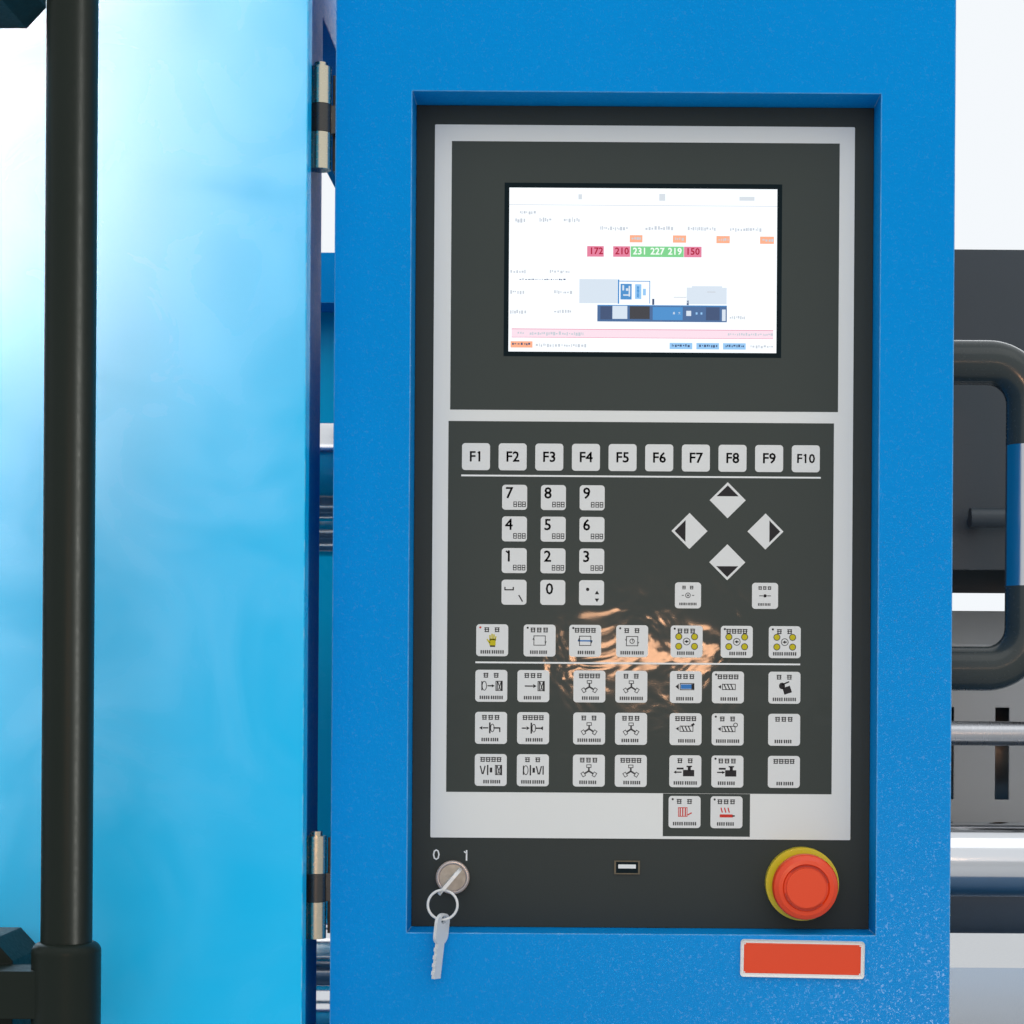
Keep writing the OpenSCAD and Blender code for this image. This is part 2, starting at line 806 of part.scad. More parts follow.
// Sheet cover over the barrel, open below, with cooling slots
module barrel_cover() {
    w = barrel_d + 10;
    h = barrel_d + 100;
    top = centre_h + barrel_d / 2 + 65;
    x = [barrel_x[0] + 10, barrel_x[1]];
    color("#e6e8e8")
        difference() {
            slab_x(x)
                difference() {
                    translate([0, top - h / 2])
                        cut_rect(2 * w, h, 30);
                    translate([0, top - h / 2])
                        cut_rect(2 * w - 2 * sheet, h - 2 * sheet, 29);
                    translate([-w - 1, top - h - 1])
                        square([2 * w + 2, 32]);
                }
            for (i = [0:11])
                block([x[0] + 60 + 48 * i, x[0] + 72 + 48 * i], [-w - 1, w + 1], [centre_h - 40, centre_h + 40]);
        }
}

module injection_cylinders() {
    x = [housing_x[1], plate_x[0] - 40];
    color("#6d7780")
        both_sides()
            difference() {
                union() {
                    rod_x(x, shot_y, centre_h, shot_cyl_d);
                    rod_x([x[0], x[0] + 25], shot_y, centre_h, shot_cyl_d + 16);
                    rod_x([x[1] - 35, x[1]], shot_y, centre_h, shot_cyl_d + 16);
                }
                rod_x([x[0] + 30, x[1] + 1], shot_y, centre_h, shot_rod_d + 2 * fit);
            }
}

// Hopper: a throat with a gate slot, a cone and a drum of sheet
module hopper() {
    mid_x = (housing_x[0] + housing_x[1]) / 2;
    color("#e9e9e6")
        translate([mid_x, 0, 0])
            difference() {
                union() {
                    block([-throat / 2, throat / 2], [-throat / 2, throat / 2], [housing_z[1], hopper_z - 12]);
                    block([-30, 30], [hopper_d / 2 - 2, lid_axis[0] + 8], [lid_z - 40, lid_z - 12]);
                    for (x = [[-30, -18], [18, 30]])
                        block(x, [lid_axis[0] - 7, lid_axis[0] + 8], [lid_z - 40, lid_axis[1] + 8]);
                    rod_x([-30, 30], lid_axis[0], lid_axis[1], 8);
                    translate([0, 0, hopper_z - 12])
                        cylinder(d = throat + 30, h = 12);
                    translate([0, 0, hopper_z])
                        rotate_extrude()
                            polygon([[30, 0], [45, 0], [hopper_d / 2, cone_h], [hopper_d / 2, cone_h + hopper_h],
                                     [hopper_d / 2 - 3, cone_h + hopper_h], [hopper_d / 2 - 3, cone_h + 1]]);
                }
                translate([0, 0, housing_z[1] - 1])
                    cylinder(d = 60, h = 90);
                block([-45 - seat, 45 + seat], [-throat / 2 - 1, 40], [gate_z - seat, gate_z + gate_t + seat]);
            }
}

module hopper_lid() {
    mid_x = (housing_x[0] + housing_x[1]) / 2;
    color("#c4c8cb")
        translate([mid_x, 0, 0]) {
            translate([0, 0, lid_z + seat])
                rotate_extrude()
                    polygon([[0, 0], [hopper_d / 2 + 6, 0], [hopper_d / 2 + 6, 8], [hopper_d / 2 - 30, 22],
                             [0, 30]]);
            block([-8, 8], [-30, 30], [lid_z + 28, lid_z + 42]);
            difference() {
                union() {
                    block([-17.7, 17.7], [hopper_d / 2 - 6, lid_axis[0]], [lid_z + seat, lid_z + 8]);
                    rod_x([-17.7, 17.7], lid_axis[0], lid_axis[1], 16);
                }
                rod_x([-18, 18], lid_axis[0], lid_axis[1], 8 + 2 * fit);
            }
        }
}

module hopper_gate() {
    mid_x = (housing_x[0] + housing_x[1]) / 2;
    color("#b8bcc0")
        translate([mid_x, 0, 0]) {
            block([-45, 45], [-throat / 2 - 60, 38], [gate_z, gate_z + gate_t]);
            rod_z(0, -throat / 2 - 45, [gate_z + gate_t, gate_z + gate_t + 22], 18);
        }
}

// Injection plate with the rods that the shot cylinders push
module injection_plate() {
    color("#5c6670")
        difference() {
            slab_x(plate_x)
                translate([0, centre_h])
                    difference() {
                        cut_rect(2 * housing_y, 280, 30);
                        circle(d = screw_d + 10);
                        for (sy = [-1, 1])
                            translate([sy * guide_y, -guide_drop])
                                circle(d = guide_d + 2 * fit);
                    }
        }
    color("#d5d8db")
        both_sides()
            rod_x([housing_x[1] + 35, plate_x[0]], shot_y, centre_h, shot_rod_d);
}

module drive_motor() {
    color("#3b4b5a") {
        rod_x([plate_x[1], plate_x[1] + 40], 0, centre_h, motor_d);
        rod_x([plate_x[1] + 40, plate_x[1] + 150], 0, centre_h, motor_d - 40);
        for (a = [0:72:288])
            translate([plate_x[1] + 40, 0, centre_h])
                rotate([a, 0, 0])
                    block([0, 110], [-30, 30], [motor_d / 2 - 40, motor_d / 2 - 6]);
        rod_x([plate_x[1] + 150, plate_x[1] + 185], 0, centre_h, 120);
    }
}

// Screw: a shank and a root with one helical flight
module screw() {
    flight_x = [barrel_x[0] + 60, housing_x[0] + 40];
    turns = (flight_x[1] - flight_x[0]) / flight_pitch;
    color("#b5bac0") {
        rod_x([flight_x[1], plate_x[1] - 5], 0, centre_h, screw_d - 4);
        translate([flight_x[0], 0, centre_h])
            rotate([0, 90, 0])
                linear_extrude(flight_x[1] - flight_x[0], twist = 360 * turns, slices = ceil(turns * 12),
                               segments = 9)
                    polygon([[0, -9], [9, -12], [screw_d / 2 - 0.6, -4], [screw_d / 2 - 0.6, 4], [9, 12],
                             [0, 18], [-14, 12], [-18, 0], [-14, -12]]);
        translate([flight_x[0], 0, centre_h])
            rotate([0, -90, 0])
                cylinder(d1 = screw_d - 14, d2 = 6, h = 40);
    }
}

// Front guard door: a folded sheet pan with a window
module door_pan(window) {
    slab_y([-door_front, -door_front + sheet])
        difference() {
            translate([door_x[0], door_z[0]])
                square([door_w, door_z[1] - door_z[0]]);
            if (window)
                translate([(window_x[0] + window_x[1]) / 2, (window_z[0] + window_z[1]) / 2])
                    round_rect(window_w, window_h, 30);
        }
    slab_y([-door_front + sheet, -door_back])
        difference() {
            translate([door_x[0], door_z[0]])
                square([door_w, door_z[1] - door_z[0]]);
            translate([door_x[0] + sheet, door_z[0] + sheet])
                square([door_w - 2 * sheet, door_z[1] - door_z[0] - 2 * sheet]);
        }
}

module front_door() {
    color("#35a6dc")
        door_pan(true);
}

module rear_door() {
    color("#35a6dc")
        mirror([0, 1, 0])
            door_pan(false);
}

module front_window() {
    lap = 20;
    color("#bcd3dd")
        block([window_x[0] - lap, window_x[1] + lap], [-door_front + sheet, -door_front + sheet + 5],
              [window_z[0] - lap, window_z[1] + lap]);
}

// Nylon shoes that straddle the rails
module shoe_set() {
    shoe_w = 10;
    low = [door_z[0] - 20 + seat, door_z[0]];
    high = [door_z[1], guard_top - rail_t - seat];
    slot = tongue_t + 2 * seat;
    for (x = [door_x[0] + 60, door_x[1] - 140]) {
        difference() {
            block([x, x + 80], [-door_mid - shoe_w / 2, -door_mid + shoe_w / 2], low);
            block([x - 1, x + 81], [-door_mid - slot / 2, -door_mid + slot / 2],
                  [low[0] - 1, door_z[0] - 20 + tongue_h + seat]);
        }
        difference() {
            block([x, x + 80], [-door_mid - shoe_w / 2, -door_mid + shoe_w / 2], high);
            block([x - 1, x + 81], [-door_mid - slot / 2, -door_mid + slot / 2],
                  [guard_top - rail_t - tongue_h - seat, high[1] + 1]);
        }
    }
}

module door_shoes() {
    color("#e8e6dc")
        shoe_set();
}

module rear_shoes() {
    color("#e8e6dc")
        mirror([0, 1, 0])
            shoe_set();
}

// Tall tube handle in two cast sockets, each on an arm from a block on the door
module socket_cup() {
    rotate_extrude() {
        square([socket_d / 2, socket_h - 6]);
        square([socket_d / 2 - 6, socket_h]);
        translate([socket_d / 2 - 6, socket_h - 6])
            circle(6);
    }
}

module pull_bracket() {
    difference() {
        union() {
            translate([pull_x, pull_y, 0])
                socket_cup();
            block([pull_x - 110, pull_x], [pull_y - 14, pull_y + 14], [30, 58]);
            slab_y([pull_y + 14, -door_front])
                polygon([[pull_x - 150, 0], [pull_x - 36, 0], [pull_x - 36, socket_h - 14],
                         [pull_x - 48, socket_h - 1], [pull_x - 150, socket_h - 1]]);
        }
        rod_z(pull_x, pull_y, [34, socket_h + 1], pull_d + 2 * fit);
    }
}

module pull_brackets() {
    color("#1d1f21") {
        translate([0, 0, socket_z[0]])
            pull_bracket();
        translate([0, 0, socket_z[1] + socket_h])
            mirror([0, 0, 1])
                pull_bracket();
    }
}

module pull_handle() {
    color("#17181a")
        rod_z(pull_x, pull_y, [socket_z[0] + 34, socket_z[1] + socket_h - 34], pull_d);
}

// Rear handle: a bent bar with two feet
module rear_handle() {
    reach = pull_out + socket_d / 2;
    color("#17181a")
        translate([pull_x, door_front, 0]) {
            for (z = [socket_z[0] + 60, socket_z[0] + 400])
                rod_y(0, [0, reach - 15], z, 30);
            rod_z(0, reach - 15, [socket_z[0] + 45, socket_z[0] + 415], 30);
        }
}

// Cabinet door with its hinges and quarter-turn latch
module cabinet_door() {
    y = [-guard_y - cab_door_t - seat, -guard_y - seat];
    color("#27475f") {
        difference() {
            block(cab_door_x, y, cab_door_z);
            block([cab_door_x[0] + sheet, cab_door_x[1] - sheet], [y[0] + sheet, y[1] + 1],
                  [cab_door_z[0] + sheet, cab_door_z[1] - sheet]);
            rod_y(latch_x, [y[0] - 1, y[0] + sheet + 1], latch_z, 20 + 2 * fit);
        }
        for (z = [cab_door_z[0] + 60, cab_door_z[1] - 60 - cab_hinge_h])
            difference() {
                union() {
                    block([cab_door_x[1], cab_axis[0]], [cab_axis[1] - 4, cab_axis[1]], [z + 26, z + cab_hinge_h]);
                    rod_z(cab_axis[0], cab_axis[1], [z + 26, z + cab_hinge_h], 2 * cab_hinge_r);
                }
                rod_z(cab_axis[0], cab_axis[1], [z - 1, z + cab_hinge_h + 1], cab_hinge_r + 2 * fit);
            }
    }
}

module cabinet_latch() {
    front = -guard_y - cab_door_t - seat;
    color("#1d1f21") {
        rod_y(latch_x, [front - 6, front], latch_z, 40);
        rod_y(latch_x, [front, front + 14], latch_z, 20);
        block([latch_x - 8, latch_x + 8], [front - 20, front - 6], [latch_z - 45, latch_z + 15]);
        block([latch_x - 28, latch_x + 8], [front + 11, front + 14], [latch_z - 8, latch_z + 8]);
    }
}

// Control box hinges: the fixed leaves with outer knuckles, and the leaves on the box with the middle knuckle
module fixed_hinges() {
    color("#c9a24a")
        at_box()
            for (z = hinge_zs)
                translate([0, 0, z]) {
                    difference() {
                        union() {
                            cylinder(r = knuckle_r, h = hinge_h);
                            block([-46, 0], [0, 3], [0, hinge_h]);
                        }
                        block([-knuckle_r - 1, knuckle_r + 1], [-knuckle_r - 1, knuckle_r + 1],
                              [hinge_split[0], hinge_split[1]]);
                    }
                    cylinder(r = 3, h = hinge_h);
                    translate([0, 0, hinge_h])
                        cylinder(r = 4, h = 3);
                }
    color("#27475f")
        for (z = [cab_door_z[0] + 60, cab_door_z[1] - 60 - cab_hinge_h]) {
            rod_z(cab_axis[0], cab_axis[1], [z, z + 25.7], 2 * cab_hinge_r);
            rod_z(cab_axis[0], cab_axis[1], [z, z + cab_hinge_h], cab_hinge_r);
            block([cab_axis[0] - 4, cab_axis[0] + 4], [cab_axis[1], -bed_y], [z, z + 25.7]);
        }
}

module box_hinge_leaves() {
    mid = [hinge_split[0] + hinge_gap, hinge_split[1] - hinge_gap];
    color("#2a2c2e")
        at_box()
            for (z = hinge_zs)
                translate([0, 0, z]) {
                    difference() {
                        union() {
                            rod_z(0, 0, mid, 2 * knuckle_r);
                            block([box_x[0] - 3, box_x[0]], [0, 9], mid);
                        }
                        rod_z(0, 0, [0, hinge_h], 6 + 2 * fit);
                    }
                    block([box_x[0] - 3, box_x[0]], [9, 45], [2, hinge_h - 2]);
                }
}

// Control box: a folded shell with a recessed cut-out
module box_shell() {
    color("#0a86cf")
        at_box()
            difference() {
                union() {
                    difference() {
                        block(box_x, [0, box_d], [box_z, box_top]);
                        block([box_x[0] + sheet, box_x[1] - sheet], [sheet, box_d + 1],
                              [box_z + sheet, box_top - sheet]);
                    }
                    block([cut_x[0] - sheet, cut_x[1] + sheet], [0, recess + 2],
                          [cut_z[0] - sheet, cut_z[1] + sheet]);
                }
                block(cut_x, [-1, recess + 3], cut_z);
            }
}

module box_back() {
    color("#0a86cf")
        at_box()
            difference() {
                block(box_x, [box_d, box_d + sheet], [box_z, box_top]);
                for (x = [box_x[0] + 90, box_x[1] - 90])
                    for (i = [0:7])
                        block([x - 50, x + 50], [box_d - 1, box_d + sheet + 1],
                              [box_top - 120 - 14 * i, box_top - 114 - 14 * i]);
            }
}

// Arch handle: two cast elbows and a metal grip between them
module arch_elbow() {
    translate([box_x[1], arch_y, arch_h / 2 - arch_d / 2]) {
        rod_x([0, arch_x - bend_r - box_x[1]], 0, 0, arch_d);
        translate([arch_x - bend_r - box_x[1], 0, -bend_r])
            rotate([90, 0, 0])
                rotate_extrude(angle = 90)
                    translate([bend_r, 0])
                        circle(d = arch_d);
    }
    rod_z(arch_x, arch_y, [grip_h / 2, arch_h / 2 - arch_d / 2 - bend_r], arch_d);
    rod_z(arch_x, arch_y, [grip_h / 2 - 12, grip_h / 2], 18 - 2 * fit);
}

module arch_elbows() {
    color("#1b1d1f")
        at_box()
            translate([0, 0, arch_z]) {
                arch_elbow();
                mirror([0, 0, 1])
                    arch_elbow();
            }
}

module arch_grip() {
    color("#9aa4ab")
        at_box()
            translate([0, 0, arch_z])
                difference() {
                    rod_z(arch_x, arch_y, [-grip_h / 2, grip_h / 2], arch_d);
                    rod_z(arch_x, arch_y, [-grip_h / 2 - 1, grip_h / 2 + 1], 18);
                }
}

// Control unit: a moulded front seated behind the box's flange, with its housing
module control_unit() {
    color("#3f433c")
        at_box()
            difference() {
                union() {
                    block(panel_x, [recess, recess + panel_t], panel_z);
                    block([cut_x[0] - 10, cut_x[1] + 10], [recess + 2, recess + panel_t],
                          [cut_z[0] - 10, cut_z[1] + 10]);
                    block([cut_x[0] + 12, cut_x[1] - 12], [recess + panel_t, recess + unit_d],
                          [cut_z[0] + 12, cut_z[1] - 12]);
                }
                translate([screen_mid[0], 0, screen_mid[1]])
                    block([-screen_w / 2 - 3.5, screen_w / 2 + 3.5], [recess - 1, recess + 3.2],
                          [-screen_h / 2 - 3.5, screen_h / 2 + 3.5]);
                rod_y(switch_at[0], [recess - 1, recess + unit_d + 1], switch_at[1], 2 * switch_hole_r + 2 * fit);
                rod_y(stop_at[0], [recess - 1, recess + unit_d + 1], stop_at[1], stop_hole_d + 2 * fit);
                translate([usb_at[0], 0, usb_at[1]])
                    block([-7.5, 7.5], [recess - 1, recess + 22], [-3.9, 3.9]);
            }
}

module screen_glass() {
    color("#e8eef2")
        at_box()
            translate([screen_mid[0], 0, screen_mid[1]])
                block([-screen_w / 2 - 3.3, screen_w / 2 + 3.3], [recess + 0.2, recess + 3.2],
                      [-screen_h / 2 - 3.3, screen_h / 2 + 3.3]);
}

// Membrane keypad: one printed film with embossed keys
module keypad_film() {
    color("#cfcfc8")
        at_box() {
            slab_y([recess - film_t, recess])
                difference() {
                    translate([(film_x[0] + film_x[1]) / 2, (film_z[0] + film_z[1]) / 2])
                        round_rect(film_w, film_h, 0.8);
                    translate(screen_mid)
                        square([screen_w, screen_h], center = true);
                }
            translate([film_x[0], 0, film_z[1]])
                slab_y([recess - film_t - emboss, recess - film_t]) {
                    for (k = square_keys)
                        translate([k[0], -k[1]])
                            round_rect(k[2], k[3], 2.2);
                    for (k = arrow_keys)
                        translate([k[0], -k[1]])
                            rotate(45)
                                square(arrow_half * sqrt(2), center = true);
                }
        }
}

// Stop button: a collar with its contact block, a stem that is pushed and a head that is twisted
module stop_collar() {
    color("#d9b21c")
        at_box()
            difference() {
                union() {
                    rod_y(stop_at[0], [recess - 8, recess], stop_at[1], 48);
                    rod_y(stop_at[0], [recess, recess + unit_d + 8], stop_at[1], stop_hole_d);
                    translate([stop_at[0], 0, stop_at[1]])
                        block([-15, 15], [recess + unit_d + 8, recess + unit_d + 40], [-20, 20]);
                }
                rod_y(stop_at[0], [recess - 9, recess + unit_d], stop_at[1], stop_stem_d + 2 * fit);
            }
}

module stop_stem() {
    color("#8f9498")
        at_box() {
            rod_y(stop_at[0], [recess - 17, recess + unit_d - stop_travel - 6], stop_at[1], stop_stem_d);
            rod_y(stop_at[0], [recess - 28, recess - 17], stop_at[1], 10);
        }
}

module stop_head() {
    r = stop_d / 2;
    color("#e5432a")
        at_box()
            translate([stop_at[0], recess - 17, stop_at[1]])
                rotate([90, 0, 0])
                    difference() {
                        rotate_extrude() {
                            polygon([[0, 0], [12, 0], [r - 1.5, 3], [r - 0.8, 12], [r - 3.5, 14], [r - 6, 14.4],
                                     [r - 7, 13.2], [0, 13.2]]);
                            translate([r - 4.5, 3])
                                square([4.5, 5]);
                            translate([r - 4, 8])
                                circle(4);
                            square([r - 8.5, 15.5]);
                        }
                        translate([0, 0, -1])
                            cylinder(d = 10 + 2 * fit, h = 12);
                    }
}

// Key switch: a chromed body with a plug that turns with its key
module switch_body() {
    color("#c8cbce")
        at_box()
            difference() {
                union() {
                    rod_y(switch_at[0], [recess - 4, recess], switch_at[1], 2 * switch_r);
                    rod_y(switch_at[0], [recess, recess + unit_d + 4], switch_at[1], 2 * switch_hole_r);
                }
                rod_y(switch_at[0], [recess - 5, recess + 30], switch_at[1], 2 * plug_r + 2 * fit);
            }
}

// A flat key in its own plane: the bow round the origin, the toothed blade along +Y as far as its tip
module key_drawing(width, hole, tip) {
    difference() {
        union() {
            round_rect(width, 20, 6);
            translate([-3.6, 9])
                square([7.2, tip - 9]);
            for (i = [0:3])
                translate([3, tip - 20 + 5 * i])
                    square([1.6, 2.4]);
        }
        translate(hole)
            circle(2.8);
    }
}

module switch_key() {
    color("#c8cbce")
        at_box() {
            difference() {
                rod_y(switch_at[0], [recess - 3.4, recess + 26], switch_at[1], 2 * plug_r);
                translate([switch_at[0], 0, switch_at[1]])
                    rotate([0, -key_angle, 0])
                        block([-3.7, 4.7], [recess - 5, recess + 15], [-key_t / 2 - fit, key_t / 2 + fit]);
            }
            translate([switch_at[0], bow_y, switch_at[1]])
                rotate([0, -key_angle, 0])
                    linear_extrude(key_t, center = true)
                        key_drawing(key_w, [key_hole, -7], 42);
        }
}

// The ring hangs in the hole of the key's bow, and the second key hangs from the ring
bow_y = recess - 30;
key_w = 21;
key_t = 2.2;
key_hole = -6.2;
pivot = [switch_at[0] + key_hole * cos(key_angle), bow_y - 7, switch_at[1] + key_hole * sin(key_angle)];
ring_mid = [pivot[0], pivot[1], pivot[2] - ring_r];

module key_ring() {
    color("#b9bcbf")
        at_box()
            translate(ring_mid)
                rotate([90, 0, 0])
                    rotate_extrude()
                        translate([ring_r, 0])
                            circle(wire_r, $fn = 24);
}

module spare_key() {
    color("#b9bcbf")
        at_box()
            translate([ring_mid[0], ring_mid[1], ring_mid[2] - ring_r])
                rotate([0, 6, 0])
                rotate([90, 180, 60])
                    translate([0, 6])
                        linear_extrude(key_t, center = true)
                            key_drawing(14, [0, -6], 32);
}

module usb_socket() {
    color("#b89a5a")
        at_box()
            translate([usb_at[0], 0, usb_at[1]])
                difference() {
                    union() {
                        block([-8.5, 8.5], [recess - 0.8, recess], [-4.5, 4.5]);
                        block([-7.2, 7.2], [recess, recess + 20], [-3.6, 3.6]);
                    }
                    block([-6.2, 6.2], [recess - 2, recess + 16], [-2.6, 2.6]);
                }
}

bed_frame();
levelling_feet();
bed_covers();
fixed_platen();
tail_platen();
tie_bars();
tie_bar_nuts();
clamp_cylinder();
clamp_guard();
guard_frame();
guard_rails();
guide_rods();
rod_pedestals();
pump_motor();
cabinet_plate();
carriage_cylinders();
fixed_hinges();
purge_guard();
moving_platen();
clamp_ram();
ejector_cylinders();
ejector_yoke();
front_door();
front_window();
door_shoes();
pull_handle();
pull_brackets();
rear_door();
rear_shoes();
rear_handle();
carriage_housing();
barrel();
nozzle();
heater_bands();
barrel_cover();
injection_cylinders();
hopper();
hopper_lid();
hopper_gate();
injection_plate();
drive_motor();
screw();
cabinet_door();
cabinet_latch();
box_shell();
box_back();
box_hinge_leaves();
arch_elbows();
arch_grip();
control_unit();
keypad_film();
screen_glass();
stop_collar();
stop_stem();
stop_head();
switch_body();
switch_key();
key_ring();
spare_key();
usb_socket();
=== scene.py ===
import bpy
import math
import random
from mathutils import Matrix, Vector


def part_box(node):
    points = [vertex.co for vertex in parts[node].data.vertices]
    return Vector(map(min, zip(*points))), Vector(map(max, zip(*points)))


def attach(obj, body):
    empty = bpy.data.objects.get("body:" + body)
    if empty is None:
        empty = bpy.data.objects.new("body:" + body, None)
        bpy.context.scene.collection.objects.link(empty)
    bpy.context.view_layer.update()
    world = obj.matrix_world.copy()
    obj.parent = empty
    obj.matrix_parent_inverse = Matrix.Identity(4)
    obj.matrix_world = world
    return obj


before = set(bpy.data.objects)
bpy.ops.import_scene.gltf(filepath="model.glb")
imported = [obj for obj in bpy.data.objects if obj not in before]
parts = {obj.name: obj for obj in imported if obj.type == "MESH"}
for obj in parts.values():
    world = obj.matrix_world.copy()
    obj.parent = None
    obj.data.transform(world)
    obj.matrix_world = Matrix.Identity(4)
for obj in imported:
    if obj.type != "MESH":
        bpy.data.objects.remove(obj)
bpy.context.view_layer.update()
print("frame loaded:", len(parts), "nodes")

# Where the control box sits: its hinge line and its front. The film and the screen are placed from there.
# Lengths in metres
boxAt = {"hinge": -.2025, "front": -.563}
film = {"left": .07135, "top": 1.658, "face": .0296, "keyFace": .0293}
screen = {"left": .12075, "top": 1.61665, "width": .177, "height": .1083}


def look(base, vary, rough, grain, depth, **more):
    return dict(base=base, vary=vary, rough=rough, grain=grain, depth=depth, **more)


# Finishes: base and second colour, roughness, grain size in 1/m and its depth. Along edges also how much,
# their radius in m and their colour: bare where paint is worn, a painted highlight on the blue box and door
finishes = {
    "bedPaint": look((.035, .13, .26), (.045, .155, .3), .38, 700, .06, coat=.25, edge=.003, wear=.35,
        bare=(.16, .17, .18)),
    # The box's edge colour is a painted highlight: a pale blue line along its edges
    "boxPaint": look((0, .235, .62), (0, .265, .68), .46, 420, .3, spec=.03, glint=.3, edge=.0014, wear=1.6,
        bare=(.35, .62, .88)),
    # The door's edge colour is a painted highlight: a paler blue along its edges
    "doorPaint": look((0, .49, .88), (0, .54, .93), .25, 260, .02, spec=.09, edge=.0016, wear=.5,
        bare=(.45, .7, .85), smudge=.05),
    "guardWhite": look((.47, .47, .46), (.5, .505, .5), .42, 800, .05, coat=.15, edge=.002, wear=.2,
        bare=(.35, .35, .35)),
    "castGrey": look((.1, .125, .15), (.135, .16, .185), .52, 160, .28, coat=.1, edge=.004, wear=.45,
        bare=(.33, .33, .33)),
    "groundRod": look((.74, .75, .77), (.66, .67, .69), .13, 900, .01, metal=1, stretch=(.02, 1, 1)),
    "turnedSteel": look((.5, .51, .53), (.4, .41, .43), .3, 900, .05, metal=1, stretch=(1, .08, .08)),
    "blackenedSteel": look((.055, .057, .062), (.085, .085, .09), .36, 600, .05, metal=.85, edge=.002,
        wear=.4, bare=(.32, .32, .33)),
    "motorPaint": look((.03, .045, .07), (.045, .06, .09), .45, 420, .12, coat=.15, edge=.003, wear=.25,
        bare=(.2, .2, .2)),
    "slatePaint": look((.03, .042, .05), (.04, .052, .062), .4, 500, .1, coat=.1, edge=.0016, wear=.25,
        bare=(.2, .22, .24)),
    "heatedBand": look((.46, .41, .33), (.3, .27, .26), .33, 300, .05, metal=1, patch=26),
    "hopperCoat": look((.72, .72, .7), (.66, .66, .65), .4, 700, .05, coat=.2, edge=.002, wear=.15,
        bare=(.4, .4, .4)),
    "blackEnamel": look((.011, .016, .012), (.016, .021, .017), .36, 420, .035, spec=.1, edge=.0012,
        wear=.12, bare=(.09, .09, .09)),
    "archEnamel": look((.028, .036, .034), (.036, .044, .042), .24, 420, .035, spec=.2, coat=.3, edge=.0012,
        wear=.12, bare=(.09, .09, .09)),
    "nylon": look((.66, .65, .6), (.6, .59, .54), .5, 900, .05),
    "gripMetal": look((.62, .63, .65), (.5, .51, .53), .22, 700, .03, metal=1, stretch=(1, 1, .05)),
    "hingeBrass": look((.62, .57, .44), (.5, .45, .34), .24, 500, .015, metal=1),
    "leafSteel": look((.05, .05, .052), (.09, .085, .075), .3, 500, .05, metal=.8, edge=.0005, wear=.4,
        bare=(.4, .38, .33)),
    "panelPlastic": look((.03, .038, .036), (.037, .045, .043), .4, 1500, .1, spec=.12),
    "filmGrey": look((.71, .71, .68), (.75, .75, .72), .38, 1600, .04, spec=.2),
    "keyGrey": look((.68, .68, .66), (.72, .72, .7), .4, 1600, .04, spec=.2),
    "stopYellow": look((.64, .5, .01), (.7, .55, .02), .3, 500, .03, coat=.3),
    "stopRed": look((.8, .056, .006), (.72, .046, .005), .34, 700, .03, coat=.25),
    "platedKey": look((.78, .78, .77), (.62, .62, .61), .42, 900, .04, metal=.15),
    "switchFace": look((.44, .43, .41), (.34, .33, .32), .34, 900, .03, metal=.8),
    "barrelSteel": look((.56, .52, .44), (.24, .22, .18), .42, 900, .06, metal=.5, patch=160),
    "usbMetal": look((.16, .14, .1), (.11, .1, .07), .5, 900, .03, metal=.6),
    "switchgear": look((.16, .165, .17), (.22, .22, .22), .45, 600, .06),
    "bareSteel": look((.42, .43, .44), (.34, .35, .36), .32, 700, .05, metal=1),
    "rubber": look((.014, .014, .014), (.022, .022, .022), .62, 700, .1),
    # Darker red: painted shade in the stop button's pressed grooves
    "grooveShadeRed": look((.42, .022, .01), (.36, .018, .008), .45, 700, .03),
    "fieldInk": look((.037, .046, .041), (.045, .054, .048), .42, 1600, .05, spec=.1, gloss=.22),
    # Dark ink: the screen's dark rim with painted shade round it, and painted shade in the data socket's
    # mouth
    "bezelAndShadeInk": look((.003, .01, .013), (.005, .013, .016), .4, 1200, .02, spec=.06),
    "blackInk": look((.018, .018, .02), (.028, .028, .03), .45, 1500, .03, spec=.12),
    "dimInk": look((.055, .055, .055), (.075, .075, .075), .45, 1500, .03, spec=.12),
    "whiteInk": look((.82, .82, .8), (.77, .77, .75), .45, 1500, .03, spec=.12),
    "yellowInk": look((.56, .47, .02), (.5, .42, .02), .45, 1500, .03, spec=.12),
    "redInk": look((.62, .045, .03), (.56, .04, .03), .45, 1500, .03, spec=.12),
    "blueInk": look((.04, .18, .5), (.05, .2, .46), .45, 1500, .03, spec=.12),
}
# What all finishes share: coat roughness plain, waved and glinting, and the relief's heights in m
shared = {
    "spec": .4, "patch": 7, "coatRough": .16, "waveRough": .055, "glintRough": .31,
    "relief": .0006, "waves": (22, .0013), "peel": (520, .59, .68),
}


def addNode(mat, kind, **values):
    made = mat.node_tree.nodes.new("ShaderNode" + kind)
    for key, value in values.items():
        if hasattr(made, key):
            setattr(made, key, value)
        else:
            made.inputs[key.replace("_", " ")].default_value = value
    return made


def addNoise(mat, place, scale, detail, distortion=0):
    noise = addNode(mat, "TexNoise", Scale=scale, Detail=detail, Distortion=distortion)
    mat.node_tree.links.new(place, noise.inputs["Vector"])
    return noise.outputs["Fac"]


def addRamp(mat, value, low, high, start, end):
    ramp = addNode(mat, "MapRange", From_Min=low, From_Max=high, To_Min=start, To_Max=end)
    mat.node_tree.links.new(value, ramp.inputs["Value"])
    return ramp.outputs[0]


def addMix(mat, part, first, second):
    # Two colours mixed; the first may be another node's output
    mix = addNode(mat, "Mix", data_type="RGBA")
    link = mat.node_tree.links.new
    link(part, mix.inputs[0])
    if isinstance(first, tuple):
        mix.inputs[6].default_value = (*first, 1)
    else:
        link(first, mix.inputs[6])
    mix.inputs[7].default_value = (*second, 1)
    return mix.outputs[2]


